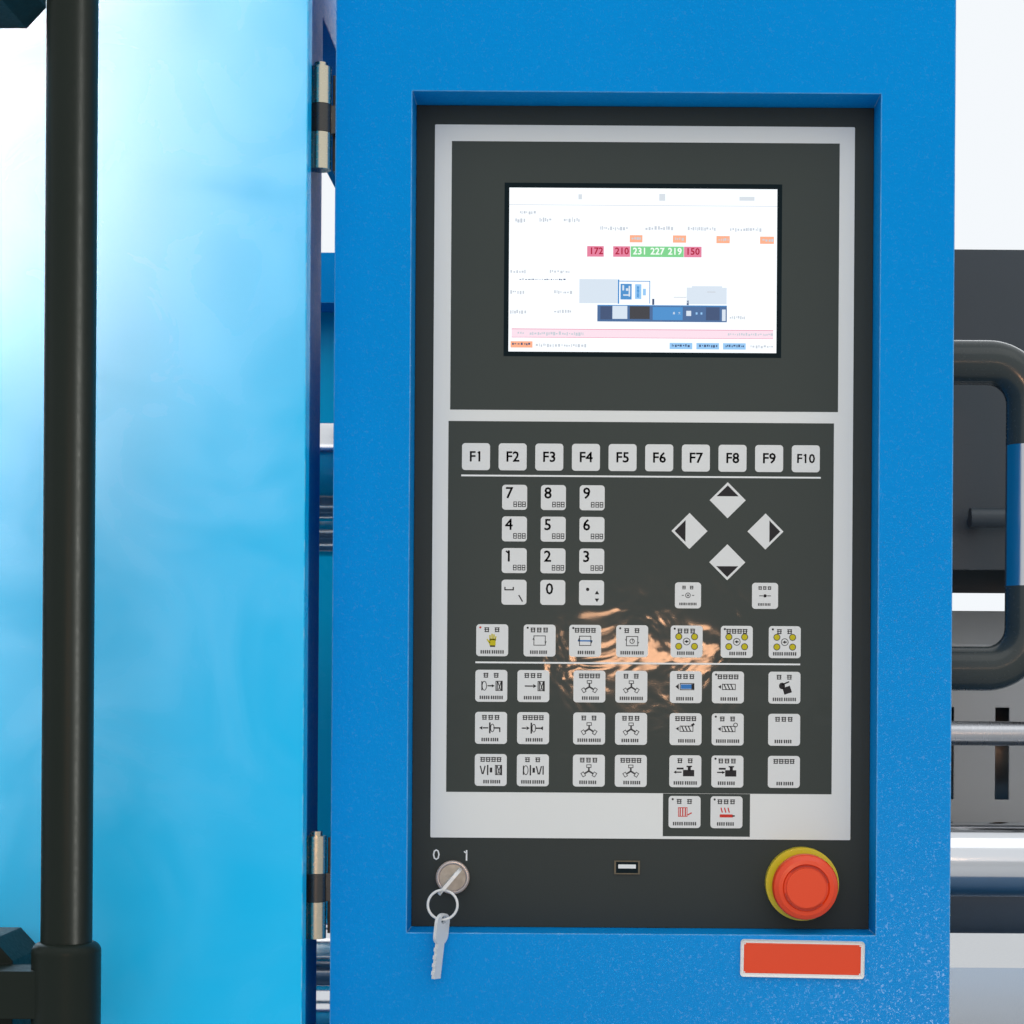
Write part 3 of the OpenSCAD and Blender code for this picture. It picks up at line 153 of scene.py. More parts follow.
def addWearAndHighlight(mat, s, place, bump, colourOut):
    # Rounds the sharp edges in the shading and colours them: rubbed-off paint on most finishes, a painted
    # highlight on the blue box and door
    link = mat.node_tree.links.new
    rounded = addNode(mat, "Bevel", samples=4, Radius=s["edge"])
    link(rounded.outputs[0], bump.inputs["Normal"])
    flat = addNode(mat, "NewGeometry")
    turn = addNode(mat, "VectorMath", operation="DOT_PRODUCT")
    link(rounded.outputs[0], turn.inputs[0])
    link(flat.outputs["Normal"], turn.inputs[1])
    onEdge = addRamp(mat, turn.outputs["Value"], .995, .82, 0, 1)
    chippedAndHighlight = addRamp(mat, addNoise(mat, place, 85, 6), .62 - s["wear"] * .3, .7, 0, 1)
    wornAndHighlight = addNode(mat, "Math", operation="MULTIPLY")
    link(onEdge, wornAndHighlight.inputs[0])
    link(chippedAndHighlight, wornAndHighlight.inputs[1])
    return addMix(mat, wornAndHighlight.outputs[0], colourOut, s["bare"])


def makeFinish(name, s):
    mat = bpy.data.materials.new(name)
    mat.use_nodes = True
    link = mat.node_tree.links.new
    skin = mat.node_tree.nodes["Principled BSDF"]
    place = addNode(mat, "TexCoord").outputs["Object"]
    if "stretch" in s:
        mapping = addNode(mat, "Mapping", Scale=s["stretch"])
        link(place, mapping.inputs["Vector"])
        grainPlace = mapping.outputs["Vector"]
    else:
        grainPlace = place
    patches = addNoise(mat, place, s.get("patch", shared["patch"]), 4)
    grain = addNoise(mat, grainPlace, s["grain"], 3)
    colourOut = addMix(mat, patches, s["base"], s["vary"])
    least, most = s["rough"] * .85, s["rough"] * 1.2
    source = grain
    if "smudge" in s:   # wiped marks and finger smears on a glossy sheet
        source = addNoise(mat, place, 9, 8, 1.6)
        most = s["rough"] + s["smudge"]
    link(addRamp(mat, source, .3, .7, least, most), skin.inputs["Roughness"])
    bump = addNode(mat, "Bump", Strength=s["depth"], Distance=shared["relief"])
    link(grain, bump.inputs["Height"])
    if "wear" in s:
        colourOut = addWearAndHighlight(mat, s, place, bump, colourOut)
    link(colourOut, skin.inputs["Base Color"])
    link(bump.outputs[0], skin.inputs["Normal"])
    skin.inputs["Metallic"].default_value = s.get("metal", 0)
    skin.inputs["Coat Weight"].default_value = s.get("coat", 0)
    skin.inputs["Coat Roughness"].default_value = shared["coatRough"]
    if "gloss" in s:   # a thin wavy film whose reflections break up
        scale, height = shared["waves"]
        ripple = addNode(mat, "Bump", Strength=.5, Distance=height)
        link(addNoise(mat, place, scale, 3, .5), ripple.inputs["Height"])
        link(ripple.outputs[0], skin.inputs["Coat Normal"])
        skin.inputs["Coat Weight"].default_value = s["gloss"]
        skin.inputs["Coat Roughness"].default_value = shared["waveRough"]
    if "glint" in s:   # the crests of the orange peel sparkle, its hollows don't
        scale, low, high = shared["peel"]
        peel = addNoise(mat, place, scale, 2, 1.4)
        link(addRamp(mat, peel, low, high, 0, s["glint"]), skin.inputs["Coat Weight"])
        skin.inputs["Coat Roughness"].default_value = shared["glintRough"]
    skin.inputs["Specular IOR Level"].default_value = s.get("spec", shared["spec"])
    return mat


def makeGlow(name, base, vary, strength):
    mat = bpy.data.materials.new(name)
    mat.use_nodes = True
    link = mat.node_tree.links.new
    skin = mat.node_tree.nodes["Principled BSDF"]
    place = addNode(mat, "TexCoord").outputs["Object"]
    drift = addNoise(mat, place, 6, 2)
    link(addMix(mat, drift, base, vary), skin.inputs["Emission Color"])
    skin.inputs["Base Color"].default_value = (.02, .02, .02, 1)
    skin.inputs["Roughness"].default_value = .18
    skin.inputs["Emission Strength"].default_value = strength
    return mat


def makeWindow(name):
    mat = makeFinish(name, look((.8, .9, .93), (.84, .93, .95), .06, 300, .01))
    skin = mat.node_tree.nodes["Principled BSDF"]
    skin.inputs["Transmission Weight"].default_value = .92
    skin.inputs["IOR"].default_value = 1.2
    return mat


finish = {name: makeFinish(name, s) for name, s in finishes.items()}
finish["window"] = makeWindow("window")
# Lit colours of the screen: colour, second colour and strength
glows = {
    "screenWhite": ((.95, .98, 1), (.88, .94, 1), 1.08),
    "screenGrey": ((.52, .56, .62), (.6, .64, .7), 1),
    "screenPink": ((.8, .17, .3), (.72, .2, .32), 1),
    "screenGreen": ((.16, .6, .22), (.2, .66, .26), 1),
    "screenPeach": ((.98, .38, .2), (.98, .44, .26), 1),
    "screenBlue": ((.03, .22, .55), (.05, .28, .62), 1),
    "screenPale": ((.62, .72, .82), (.7, .78, .88), 1),
    "screenNavy": ((.015, .045, .13), (.02, .06, .17), 1),
    "screenDeep": ((.03, .1, .26), (.04, .13, .32), 1),
    "screenSoft": ((.62, .68, .74), (.7, .75, .8), 1),
    "screenPaleBlue": ((.25, .52, .86), (.3, .58, .9), 1),
    "screenBlack": ((.012, .012, .02), (.02, .02, .03), 1),
    "screenRose": ((.93, .7, .8), (.95, .74, .83), 1),
    "screenRed": ((.45, .02, .06), (.4, .02, .05), 1),
    "screenLight": ((.9, .98, .92), (.9, .97, .92), 1),
}
for name, (base, vary, strength) in glows.items():
    finish[name] = makeGlow(name, base, vary, strength)

nodeFinish = {
    "bedPaint": ["bed_frame", "bed_covers", "rod_pedestals", "cabinet_door"],
    "boxPaint": ["guard_frame", "box_shell", "box_back"],
    "doorPaint": ["front_door", "rear_door"],
    "guardWhite": ["clamp_guard", "barrel_cover"],
    "castGrey": ["fixed_platen", "tail_platen", "clamp_cylinder", "carriage_cylinders", "moving_platen",
        "ejector_cylinders", "carriage_housing", "injection_cylinders", "injection_plate"],
    "groundRod": ["tie_bars", "guide_rods", "clamp_ram"],
    "turnedSteel": ["guard_rails", "ejector_yoke", "barrel", "nozzle", "hopper_lid", "hopper_gate",
        "screw"],
    "blackenedSteel": ["levelling_feet", "tie_bar_nuts", "stop_stem"],
    "motorPaint": ["pump_motor", "drive_motor"],
    "slatePaint": ["purge_guard"],
    "heatedBand": ["heater_bands"],
    "hopperCoat": ["hopper"],
    "blackEnamel": ["pull_handle", "pull_brackets", "rear_handle", "cabinet_latch"],
    "archEnamel": ["arch_elbows"],
    "nylon": ["door_shoes", "rear_shoes"],
    "gripMetal": ["arch_grip"],
    "hingeBrass": ["fixed_hinges"],
    "leafSteel": ["box_hinge_leaves"],
    "panelPlastic": ["control_unit"],
    "filmGrey": ["keypad_film"],
    "stopYellow": ["stop_collar"],
    "stopRed": ["stop_head"],
    "switchFace": ["switch_body"],
    "platedKey": ["switch_key", "key_ring", "spare_key"],
    "usbMetal": ["usb_socket"],
    "switchgear": ["cabinet_plate"],
    "window": ["front_window"],
    "screenWhite": ["screen_glass"],
}
for name, members in nodeFinish.items():
    for member in members:
        parts[member].data.materials.clear()
        parts[member].data.materials.append(finish[name])
left = sorted(set(parts) - {m for ms in nodeFinish.values() for m in ms})
if left:
    raise SystemExit(f"no finish for {left}")
print("finishes set")


def setMode(mode):
    bpy.ops.object.mode_set(mode=mode)


def clearChoice():
    if bpy.context.object and bpy.context.object.mode != "OBJECT":
        setMode("OBJECT")
    bpy.ops.object.select_all(action="DESELECT")


def choose(pieces):
    clearChoice()
    for piece in pieces:
        piece.select_set(True)
    bpy.context.view_layer.objects.active = pieces[0]


def chooseFaces():
    setMode("EDIT")
    bpy.ops.mesh.select_all(action="SELECT")


def startPiece(name, inks):
    # An empty mesh at the origin, open in edit mode, for primitives to be added to
    clearChoice()
    bpy.ops.object.add(type="MESH", location=(0, 0, 0))
    piece = bpy.context.object
    piece.name = piece.data.name = name
    for ink in inks:
        piece.data.materials.append(finish[ink])
    setMode("EDIT")
    return piece


# How wide the line of an outlined shape is, in metres
strokeWidth = .00047


def addShape(kind, x, z, w, h, turn, y):
    # One flat shape facing the operator: its middle, its size and its turn, in metres and degrees
    facing = dict(location=(x, y, z), rotation=(math.pi / 2, 0, 0))
    if kind in ("bar", "frame"):
        bpy.ops.mesh.primitive_plane_add(size=1, **facing)
    else:
        corners = {"disc": 20, "ring": 20, "tri": 3}[kind]
        bpy.ops.mesh.primitive_circle_add(vertices=corners, radius=.5, fill_type="NGON", **facing)
    bpy.ops.transform.resize(value=(w, 1, h), center_override=(x, y, z))
    if turn:
        bpy.ops.transform.rotate(value=math.radians(turn), orient_axis="Y", center_override=(x, y, z))
    bpy.ops.object.material_slot_assign()
    if kind in ("frame", "ring"):
        bpy.ops.mesh.inset(thickness=strokeWidth)
        bpy.ops.mesh.delete(type="FACE")


def drawPieces(name, shapes, inks, y):
    # shapes: (kind, x, z, width, height, turn, ink), ink by its place in inks
    piece = startPiece(name, inks)
    for kind, x, z, w, h, turn, ink in shapes:
        piece.active_material_index = ink
        addShape(kind, x, z, w, h, turn, y)
    setMode("OBJECT")
    return piece


def finishPiece(piece, thick, body):
    # Gives a flat piece its thickness and its body
    choose([piece])
    shell = piece.modifiers.new("thickness", "SOLIDIFY")
    shell.thickness = thick
    shell.offset = 1
    bpy.ops.object.modifier_apply(modifier=shell.name)
    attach(piece, body)


def layPiece(name, shapes, inks, y, thick, body="control_box"):
    finishPiece(drawPieces(name, shapes, inks, y), thick, body)


def addText(body, x, z, size, y, ink, bold=.016):
    # A bolder stroke: the same sign laid down four times, a hair apart
    made = []
    for dx, dz in ((-1, -1), (1, -1), (-1, 1), (1, 1)):
        clearChoice()
        bpy.ops.object.text_add(location=(x + dx * size * bold, y, z + dz * size * bold),
            rotation=(math.pi / 2, 0, 0))
        words = bpy.context.object
        words.data.body = body
        words.data.size = size
        words.data.align_x = "CENTER"
        words.data.align_y = "CENTER"
        words.data.resolution_u = 2
        bpy.ops.object.convert(target="MESH")
        bpy.ops.object.transform_apply()
        words = bpy.context.object
        words.data.materials.clear()
        words.data.materials.append(finish[ink])
        made.append(words)
        if not bold:
            break
    return joinAll(made)


def joinAll(pieces):
    if len(pieces) == 1:
        return pieces[0]
    choose(pieces)
    bpy.ops.object.join()
    return bpy.context.object


def onFilm(fx, fz):
    # Millimetres from the film's left and top edges to metres in the machine's frame
    return boxAt["hinge"] + film["left"] + fx / 1000, film["top"] - fz / 1000


def onScreen(u, v):
    return boxAt["hinge"] + screen["left"] + u / 1000, screen["top"] - v / 1000


filmY = boxAt["front"] + film["face"]
keyY = boxAt["front"] + film["keyFace"]

# Printed fields on the keypad film, in millimetres from its left and top edges
fields = {
    "screenField": (11.2, 10.9, 256.2, 177.4), "holeMargin": 3.2,
    "keyField": (10.2, 195.8, 254.6, 245), "tabField": (153.5, 441, 57.5, 28.2),
    "lines": [(18.8, 231.2, 237.5, 1.1), (29, 354.6, 214.5, 1.1)],
    "lift": .00002, "thick": .00006, "lineLift": .0001, "lineThick": .00005,
}


def filmBar(x0, z0, w, h, ink):
    x, z = onFilm(x0 + w / 2, z0 + h / 2)
    return ("bar", x, z, w / 1000, h / 1000, 0, ink)


def makeFields():
    x0, z0, w, h = fields["screenField"]
    m = fields["holeMargin"]
    hx0 = (screen["left"] - film["left"]) * 1000 - m
    hz0 = (film["top"] - screen["top"]) * 1000 - m
    hw, hh = screen["width"] * 1000 + 2 * m, screen["height"] * 1000 + 2 * m
    shapes = [
        filmBar(x0, z0, w, hz0 - z0, 0), filmBar(x0, hz0 + hh, w, z0 + h - hz0 - hh, 0),
        filmBar(x0, hz0, hx0 - x0, hh, 0), filmBar(hx0 + hw, hz0, x0 + w - hx0 - hw, hh, 0),
        # A dark band round the screen's hole: the screen's dark rim, and painted shade where the screen
        # sits back behind the film
        filmBar(hx0, hz0, hw, m, 1), filmBar(hx0, hz0 + hh - m, hw, m, 1),
        filmBar(hx0, hz0 + m, m, hh - 2 * m, 1), filmBar(hx0 + hw - m, hz0 + m, m, hh - 2 * m, 1),
        filmBar(*fields["keyField"], 0), filmBar(*fields["tabField"], 0),
    ]
    layPiece("printed_fields", shapes, ["fieldInk", "bezelAndShadeInk"], filmY - fields["lift"], fields["thick"])
    lines = [filmBar(*line, 0) for line in fields["lines"]]
    layPiece("printed_lines", lines, ["whiteInk"], filmY - fields["lineLift"], fields["lineThick"])


makeFields()
print("printed fields made")

# The page on the lit screen, in millimetres from its left and top edges
pageInks = ["screenGrey", "screenPink", "screenGreen", "screenPeach", "screenBlue", "screenPale",
    "screenNavy", "screenRose", "screenDeep", "screenSoft", "screenPaleBlue", "screenBlack"]
grey, pink, green, peach, blue, pale, navy, rose, deep, soft, paleBlue, jet = range(12)
# Bars: left, down, width, height and ink. Marks: left, down, width and height of a row of strokes
page = {
    "bars": [
        (0, 11, 177, .35, grey), (45.6, 4, 2.4, 3.4, soft), (99, 3.4, 4, 4.6, soft),
        (152, 5, 10, 2.6, soft),
        (2, 93.4, 173, 5.4, rose), (2, 93, 173, .4, pink), (2, 98.6, 173, .3, pink),
        (1.4, 101.4, 14.5, 4.2, peach), (106.5, 101.8, 15, 4.2, paleBlue),
        (124.2, 101.8, 15, 4.2, paleBlue), (141.8, 101.8, 15, 4.2, paleBlue),
        (51.6, 38.2, 11, 7, pink), (68.8, 38.2, 11.2, 7, pink), (80.4, 38.2, 35, 7, green),
        (115.6, 38.2, 11.6, 7, pink),
        (79.7, 30.8, 8.4, 4.8, peach), (108.2, 30.8, 8.8, 4.8, peach), (137, 31, 8.8, 4.8, peach),
        (165.8, 31.2, 9.2, 4.8, peach),
        (46.6, 60, 25.2, 16, pale), (72, 60.2, 1, 16, blue), (73, 61, 20.4, .5, blue),
        (92.9, 61, .5, 15, blue),
        (73.8, 63, 7.4, 10.4, blue), (83.4, 63.2, 4.2, 9.8, paleBlue), (84.6, 64.6, 1.6, 7.4, blue),
        (88.6, 66.2, 2, 4.4, paleBlue),
        (117.6, 65.2, 26.4, 11, pale), (121, 64.2, 20, 1, pale), (109, 71.4, 8.4, .5, grey),
        (94.8, 72.8, 1.4, 4, navy), (117.6, 73.8, 1.4, 3, navy),
        (58.6, 77, 85.6, 11, deep),
    ],
    "over": [
        (75, 64, 1.2, 3.4, pale), (77.4, 66, 1.6, 1.6, pale), (75.6, 70, 3.8, .9, pale),
        (79.2, 64.4, 1, 7, pale), (131, 67.8, 5.6, .6, grey),
        (60.6, 78, 7.6, 8.6, navy), (68.6, 77.6, 9.8, 8.6, pale), (80, 77.8, 13.2, 8.4, jet),
        (95.2, 78.2, 19.8, 8.6, blue), (117.4, 80.6, 3.2, 3.4, pale),
        (108.6, 81.4, 1.2, 1.6, pale), (112.2, 81.4, 1.2, 1.6, pale), (123.6, 81.6, 1.2, 1.4, paleBlue),
        (126.8, 81.6, 1.2, 1.4, paleBlue),
        (130.4, 78.2, 9, 8.6, navy), (141, 79.6, 2.4, 7.6, pale), (58.6, 77, 85.6, .6, blue),
    ],
    "numbers": [("172", 57.6, "screenRed"), ("210", 74.6, "screenRed"), ("231", 86.4, "screenLight"),
        ("227", 98, "screenLight"), ("219", 109.6, "screenLight"), ("150", 121.4, "screenRed")],
    "marks": [
        (7, 15.2, 11, 2.4), (4, 20, 6, 3.2), (20, 19.6, 8, 3.2), (36, 19.4, 10, 3.2), (60, 25.2, 18, 2.6),
        (90, 25, 18, 2.6), (118, 25, 18, 2.6), (146, 25.4, 20, 2.6),
        (1, 54, 10, 2.6), (27, 54, 14, 2.4), (1, 67.6, 10, 2.6), (30, 67.6, 11, 2.4), (1, 80.6, 10, 2.6),
        (30, 80.6, 11, 2.4), (7, 60, 30, .9),
        (146, 83.6, 10, 2.4), (6, 95, 4, 2.2), (14, 95, 36, 2.4), (145, 95, 30, 2),
        (18, 102.6, 34, 2.6), (2.4, 102.4, 12, 1.8), (108, 102.8, 12, 1.8), (126, 102.8, 12, 1.8),
        (143.5, 102.8, 12, 1.8), (160, 102.8, 15, 2.4),
        (81, 32.2, 6.4, 2), (109.6, 32.2, 6.4, 2), (138.4, 32.4, 6.4, 2), (167.4, 32.6, 6.4, 2),
    ],
    "numberDown": 41.6, "numberTall": .0062, "numberBold": .02,
    "stroke": (.5, 1.5), "gap": (.3, .9), "wander": .15, "tall": (.35, .95), "paleAbove": 1.9,
    "barLift": .00003, "markLift": .00008, "overLift": .00011, "thick": .00003,
}


def screenBar(u, v, w, h, ink):
    x, z = onScreen(u + w / 2, v + h / 2)
    return ("bar", x, z, w / 1000, h / 1000, 0, ink)


def makePage():
    rng = random.Random(4)
    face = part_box("screen_glass")[0][1]
    bars = [screenBar(*item) for item in page["bars"]]
    layPiece("screen_page", bars, pageInks, face - page["barLift"], page["thick"])
    over = face - page["overLift"]
    bars = [screenBar(*item) for item in page["over"]]
    piece = drawPieces("screen_picture", bars, pageInks, over)
    numbers = []
    for text, u, ink in page["numbers"]:
        x, z = onScreen(u, page["numberDown"])
        numbers.append(addText(text, x, z, page["numberTall"], over, ink, page["numberBold"]))
    piece = joinAll([piece] + numbers)
    piece.name = "screen_picture"
    finishPiece(piece, page["thick"], "control_box")
    strokes = []
    wander = page["wander"]
    for u, v, w, h in page["marks"]:   # each a row of short strokes of uneven size
        at = u
        ink = grey if h > page["paleAbove"] else navy
        while at < u + w - .4:
            step = rng.uniform(*page["stroke"])
            x, z = onScreen(at + step / 2, v + h / 2 + rng.uniform(-wander, wander) * h)
            tall = h * rng.uniform(*page["tall"]) / 1000
            strokes.append(("bar", x, z, step / 1000, tall, 0, ink))
            at += step + rng.uniform(*page["gap"])
    layPiece("screen_marks", strokes, pageInks, face - page["markLift"], page["thick"])


makePage()
print("screen page made")

# Keys on the film: their middle from its left and top edges, width and height, in millimetres. Arrow
# keys have their turn instead of a size
keys = {
    "function": [(28.5 + 24.2 * i, 219.3, 18.5, 17.8) for i in range(10)],
    "digit": [(54.2 + 25.6 * i, 246 + 20.9 * j, 16.5, 16.5) for j in range(4) for i in range(3)],
    "enter": [(x, 310, 17.2, 17.2) for x in (169.1, 220)],
    "mode": [(x, 340.5, 21.1, 21.1) for x in (40, 71.3, 101.4, 132.4, 168.4, 201.5, 233.2)],
    "axis": [(x, 370.6 + 27.8 * j, 21.1, 21.1) for j in range(3)
             for x in (39.6, 67.4, 104.4, 132.1, 168.1, 195.9, 233.2)],
    "heat": [(x, 453.1, 21.1, 21.1) for x in (167.8, 195.5)],
    "arrow": [(194.9, 247, 90), (169.8, 267.5, 180), (220, 267.5, 0), (194.9, 288, -90)],
    "arrowHalf": 11.9, "digits": "789456123",
}
legendInks = ["blackInk", "yellowInk", "redInk", "blueInk", "whiteInk", "dimInk"]
black, yellow, red, blueLine, white, dim = range(6)


def bar(x, z, w, h, turn=0, ink=black):
    return ("bar", x, z, w, h, turn, ink)


def loop(x, z, w, h, ink=black):
    return ("ring", x, z, w, h, 0, ink)


def arrowMark(x, z, turn, size=2.4):
    return [("tri", x, z, size, size, turn - 90, black)]


# Small pictures for the keys, in millimetres round the key's middle: kind, x, z, width, height, turn, ink
coreMark = [
    bar(0, .8, 1.1, 2.6, 0, dim), bar(-1.4, -1.1, 1.1, 3, -58, dim),
    bar(1.4, -1.1, 1.1, 3, 58, dim), ("frame", 0, 3, 3.4, 2.2, 0, dim),
    ("frame", -3.7, -2.5, 3.2, 2.4, -58, dim), ("frame", 3.7, -2.5, 3.2, 2.4, 58, dim),
]
bodyMark = [
    bar(2.2, -1.2, 7.4, 4.2), bar(2.6, 1.8, 2, 2.4), bar(2.6, 3.2, 3.6, .9), bar(-3.4, 1.8, 4.6, 1.2),
]
dieMark = []
for sx, sz in ((-1, 1), (1, 1), (-1, -1), (1, -1)):
    x, z = sx * 5.2, sz * 3.2
    dieMark += [("disc", x, z, 3.8, 3.8, 0, yellow), ("ring", x, z, 4.6, 4.6, 0, dim)]
dieMark += [loop(0, 0, 5, 5, dim), bar(0, 0, 2.6, .8), bar(0, 0, .8, 1.8)]
domeMark = [loop(-4.6, 0, 3.4, 6.4), bar(-6.2, 0, .7, 6.2)]
hatchMark = [
    ("frame", 4.8, 0, 4, 6.6, 0, black), bar(3.9, 0, .7, 6), bar(5.2, 0, .55, 5.6, 18),
    bar(5.6, 0, .55, 5.6, -18), bar(7.1, 0, .8, 6.8),
]
barrelMark = [
    ("frame", .8, .3, 9.6, 4.6, 0, black), ("tri", -5.4, .3, 4.4, 3, 90, black),
    bar(.2, .3, 7, 3, 0, blueLine), bar(4.6, .3, 1.8, 3.4),
]
screwMark = [
    ("frame", .6, .3, 9, 4, 0, black), *[bar(x, .3, .7, 3.8, 24) for x in (-1.8, .4, 2.6)],
    ("tri", -5.2, .3, 3, 2.6, 90, black),
]
handMark = [
    bar(.2, -1.2, 4.2, 4.4, 0, yellow), bar(-1.4, 1.6, .95, 3.6, 4, yellow),
    bar(-.1, 2.2, .95, 4.2, 0, yellow), bar(1.1, 2, .95, 3.8, -4, yellow),
    bar(2.2, 1.2, .9, 2.8, -10, yellow), bar(-2.5, -.6, .95, 3.2, 34, yellow), bar(.3, -3.9, 3.4, 1),
]
cycleMark = [("frame", 0, 0, 8, 6.6, 0, black), bar(-4, 0, 1, 2, 0, white),
    bar(4, 0, 1, 2, 0, white)] + arrowMark(-4, .9, 90, 1.7) + arrowMark(4, -.9, -90, 1.7)
pictures = {
    "mode": [
        handMark, cycleMark,
        cycleMark + [bar(0, 0, 9.6, .9, 0, blueLine)],
        cycleMark + [loop(0, 0, 3.4, 3.4), bar(.3, .4, .4, 1.5)], dieMark, dieMark, dieMark,
    ],
    "axis": [
        domeMark + hatchMark + [bar(-1, 0, 3, .8)] + arrowMark(1, 0, 0),
        hatchMark + [bar(-3, 0, 5.4, .8)] + arrowMark(.6, 0, 0, 3), coreMark, coreMark, barrelMark,
        screwMark,
        [("disc", -1.6, 1.2, 4, 4.4, 0, black), bar(1.8, -1.6, 5.2, 4.6, 18),
            bar(.8, 3, 5, .9, 24)],
        arrowMark(-6.4, 0, 180, 2.8) + [bar(-3.6, 0, 3.6, .8), bar(-.8, 0, 1, 7.2),
            loop(.9, 0, 2.8, 5.6), bar(3.6, 0, 4, .9), bar(5.8, -1.2, .8, 3.2)],
        arrowMark(-3.6, 0, 0, 2.8) + [bar(-6, 0, 3, .8), bar(-1.2, 0, 1, 7.2),
            loop(.5, 0, 2.8, 5.6), bar(3, 0, 3.4, .9)] + arrowMark(5.8, 0, 180, 3),
        coreMark, coreMark,
        screwMark + [bar(4.8, 3, 2.2, 1.4, 30)], screwMark + [loop(5.2, 3, 3, 3)], [],
        hatchMark + [bar(-6.2, 0, .8, 5.6, 14), bar(-4.4, 0, .8, 5.6, -14), bar(-2, 0, .9, 6.8),
            bar(.2, 0, 1.6, 3.2)],
        domeMark + [bar(-1.6, 0, .9, 6.8), bar(.6, 0, 1.6, 3.2), bar(3, 0, .8, 5.6, 14),
            bar(5, 0, .8, 5.6, -14), bar(6.8, 0, .8, 5.8)],
        coreMark, coreMark,
        bodyMark + [bar(-4.6, -.6, 4.4, .8)] + arrowMark(-6.6, -.6, 180),
        bodyMark + [bar(-4.6, -.6, 4.4, .8)] + arrowMark(-2.8, -.6, 0), [],
    ],
    "heat": [
        [("frame", -1.2, 0, 6.2, 6.2, 0, red), *[bar(x, 0, .8, 5.2, 0, red) for x in (-2.9, -1.2, .5)],
            bar(3.4, -1.2, 3, .8, 30, red)],
        [bar(-.2, -2.4, 8.6, 2, 0, red), *[bar(x, 1.4, .8, 3.4, 16, red) for x in (-3.2, -.9, 1.4)],
            bar(4.6, -2.4, 1.6, 1)],
    ],
    "enter": [
        [loop(0, 0, 3.6, 3.6, dim), ("disc", 0, 0, 1.2, 1.2, 0, black), bar(-3.4, 0, 1.4, .5, 0, dim),
            bar(3.4, 0, 1.4, .5, 0, dim)],
        [bar(-2.6, 0, 2.6, .5), bar(2.6, 0, 2.6, .5), ("disc", 0, 0, 2.2, 2.2, 0, black)],
    ],
}
# Small hatched blocks above the picture of a key and a row of ticks below it, in millimetres
rowMarks = {
    "blocks": [(-3.6, 3.2), (-4.4, -.3, 3.9), (-5.4, -1.8, 1.8, 5.4)], "blockUp": 7,
    "block": [(0, 1.2, 3.2, .62), (0, .05, 3.2, .55), (0, -1.3, 2.9, .62), (-.9, 0, .62, 3),
        (1, 0, .62, 3)],
    "ticks": (-7.2, -5.8, -4.4, -3, -1.6, .2, 1.6, 3, 4.4, 5.8, 7.2), "tickUp": -7.7, "tick": (.92, 2.3),
    "dot": (-7.9, 8.4, 1.4), "enterPart": .74,
}
# Small frames beside the digits, and the marks of the two keys that carry no digit
digitRow = [("frame", at, -4.6, 2.3, 3.6, 0, black) for at in (.4, 3.4, 6.2)]
digitRow += [bar(at, -4.6, 2.2, .6) for at in (.4, 3.4, 6.2)]
returnMark = [bar(-3.2, 1.6, 6, .8), bar(-6, 2.5, .8, 2), bar(-.5, 2.5, .8, 2), bar(4.4, -4, .8, 5, 30)]
stepMark = [
    ("disc", -2.6, 2.2, 2.2, 2.2, 0, black), bar(3.6, 0, 3.6, .5, 0, white),
    ("tri", 3.6, -.2, 3.4, 3.2, 0, black), ("tri", 3.6, -4.6, 3.4, 3.2, 180, black),
]
# Arrow heads, the flags on the ones, and the signs: how far right and down in millimetres, then their size
signs = {
    "arrowReach": .42, "arrow": (.0168, .0096), "flag": (.0021, .0009, -38),
    "flags": [("function", 0, 1.9, -2.3, .9), ("function", 9, -.7, -2.1, .8),
        ("digit", 6, -4.6, -5.6, 1.1)],
    "functionDown": .2, "functionTall": (.0095, .0084), "digitAt": (-3.6, -2.6), "zeroAt": (-2.2, -2),
    "digitTall": .0104, "digitBold": .012, "lift": .00003, "thick": .00004,
}


def placed(items, mx, mz):
    # A small picture's shapes, moved to the middle of its key
    shapes = []
    for kind, x, z, w, h, turn, ink in items:
        px, pz = onFilm(mx + x, mz - z)
        shapes.append((kind, px, pz, w / 1000, h / 1000, turn, ink))
    return shapes


def keyRows(n, part):
    # The blocks above a key's picture and the ticks below it, at a part of their size
    up = rowMarks["blockUp"]
    rows = []
    for at in rowMarks["blocks"][n % 3]:
        for x, z, w, h in rowMarks["block"]:
            rows.append(bar((at + x) * part, (up + z) * part, w * part, h * part, 0, dim))
    ticks = rowMarks["ticks"]
    w, h = rowMarks["tick"]
    for at in ticks[n % 3:len(ticks) - (n * 2) % 3]:
        rows.append(bar(at * part, rowMarks["tickUp"] * part, w * part, h * part, 0, dim))
    return rows


def keyMarks():
    shapes = []
    x, z, size = rowMarks["dot"]
    for group in ("mode", "axis", "heat", "enter"):
        part = rowMarks["enterPart"] if group == "enter" else 1
        for n, (mx, mz, w, h) in enumerate(keys[group]):
            shapes += placed(pictures[group][n], mx, mz)
            shapes += placed(keyRows(n, part), mx, mz)
            if group in ("mode", "heat") or (group == "axis" and n % 7 == 5):
                ink = red if group == "mode" and n == 0 else black
                shapes += placed([("disc", x, z, size, size, 0, ink)], mx, mz)
    for n, (mx, mz, w, h) in enumerate(keys["digit"]):
        if n < 9:
            shapes += placed(digitRow, mx, mz)
        elif n == 9:
            shapes += placed(returnMark, mx, mz)
        elif n == 11:
            shapes += placed(stepMark, mx, mz)
    w, h = signs["arrow"]
    reach = keys["arrowHalf"] * signs["arrowReach"] / 1000
    for fx, fz, turn in keys["arrow"]:
        px, pz = onFilm(fx, fz)
        a = math.radians(turn)
        shapes.append(("tri", px + reach * math.cos(a), pz + reach * math.sin(a), w, h, turn - 90, black))
    w, h, turn = signs["flag"]
    for group, n, right, down, size in signs["flags"]:
        px, pz = onFilm(keys[group][n][0] + right, keys[group][n][1] + down)
        shapes.append(bar(px, pz, size * w, size * h, turn))
    return shapes


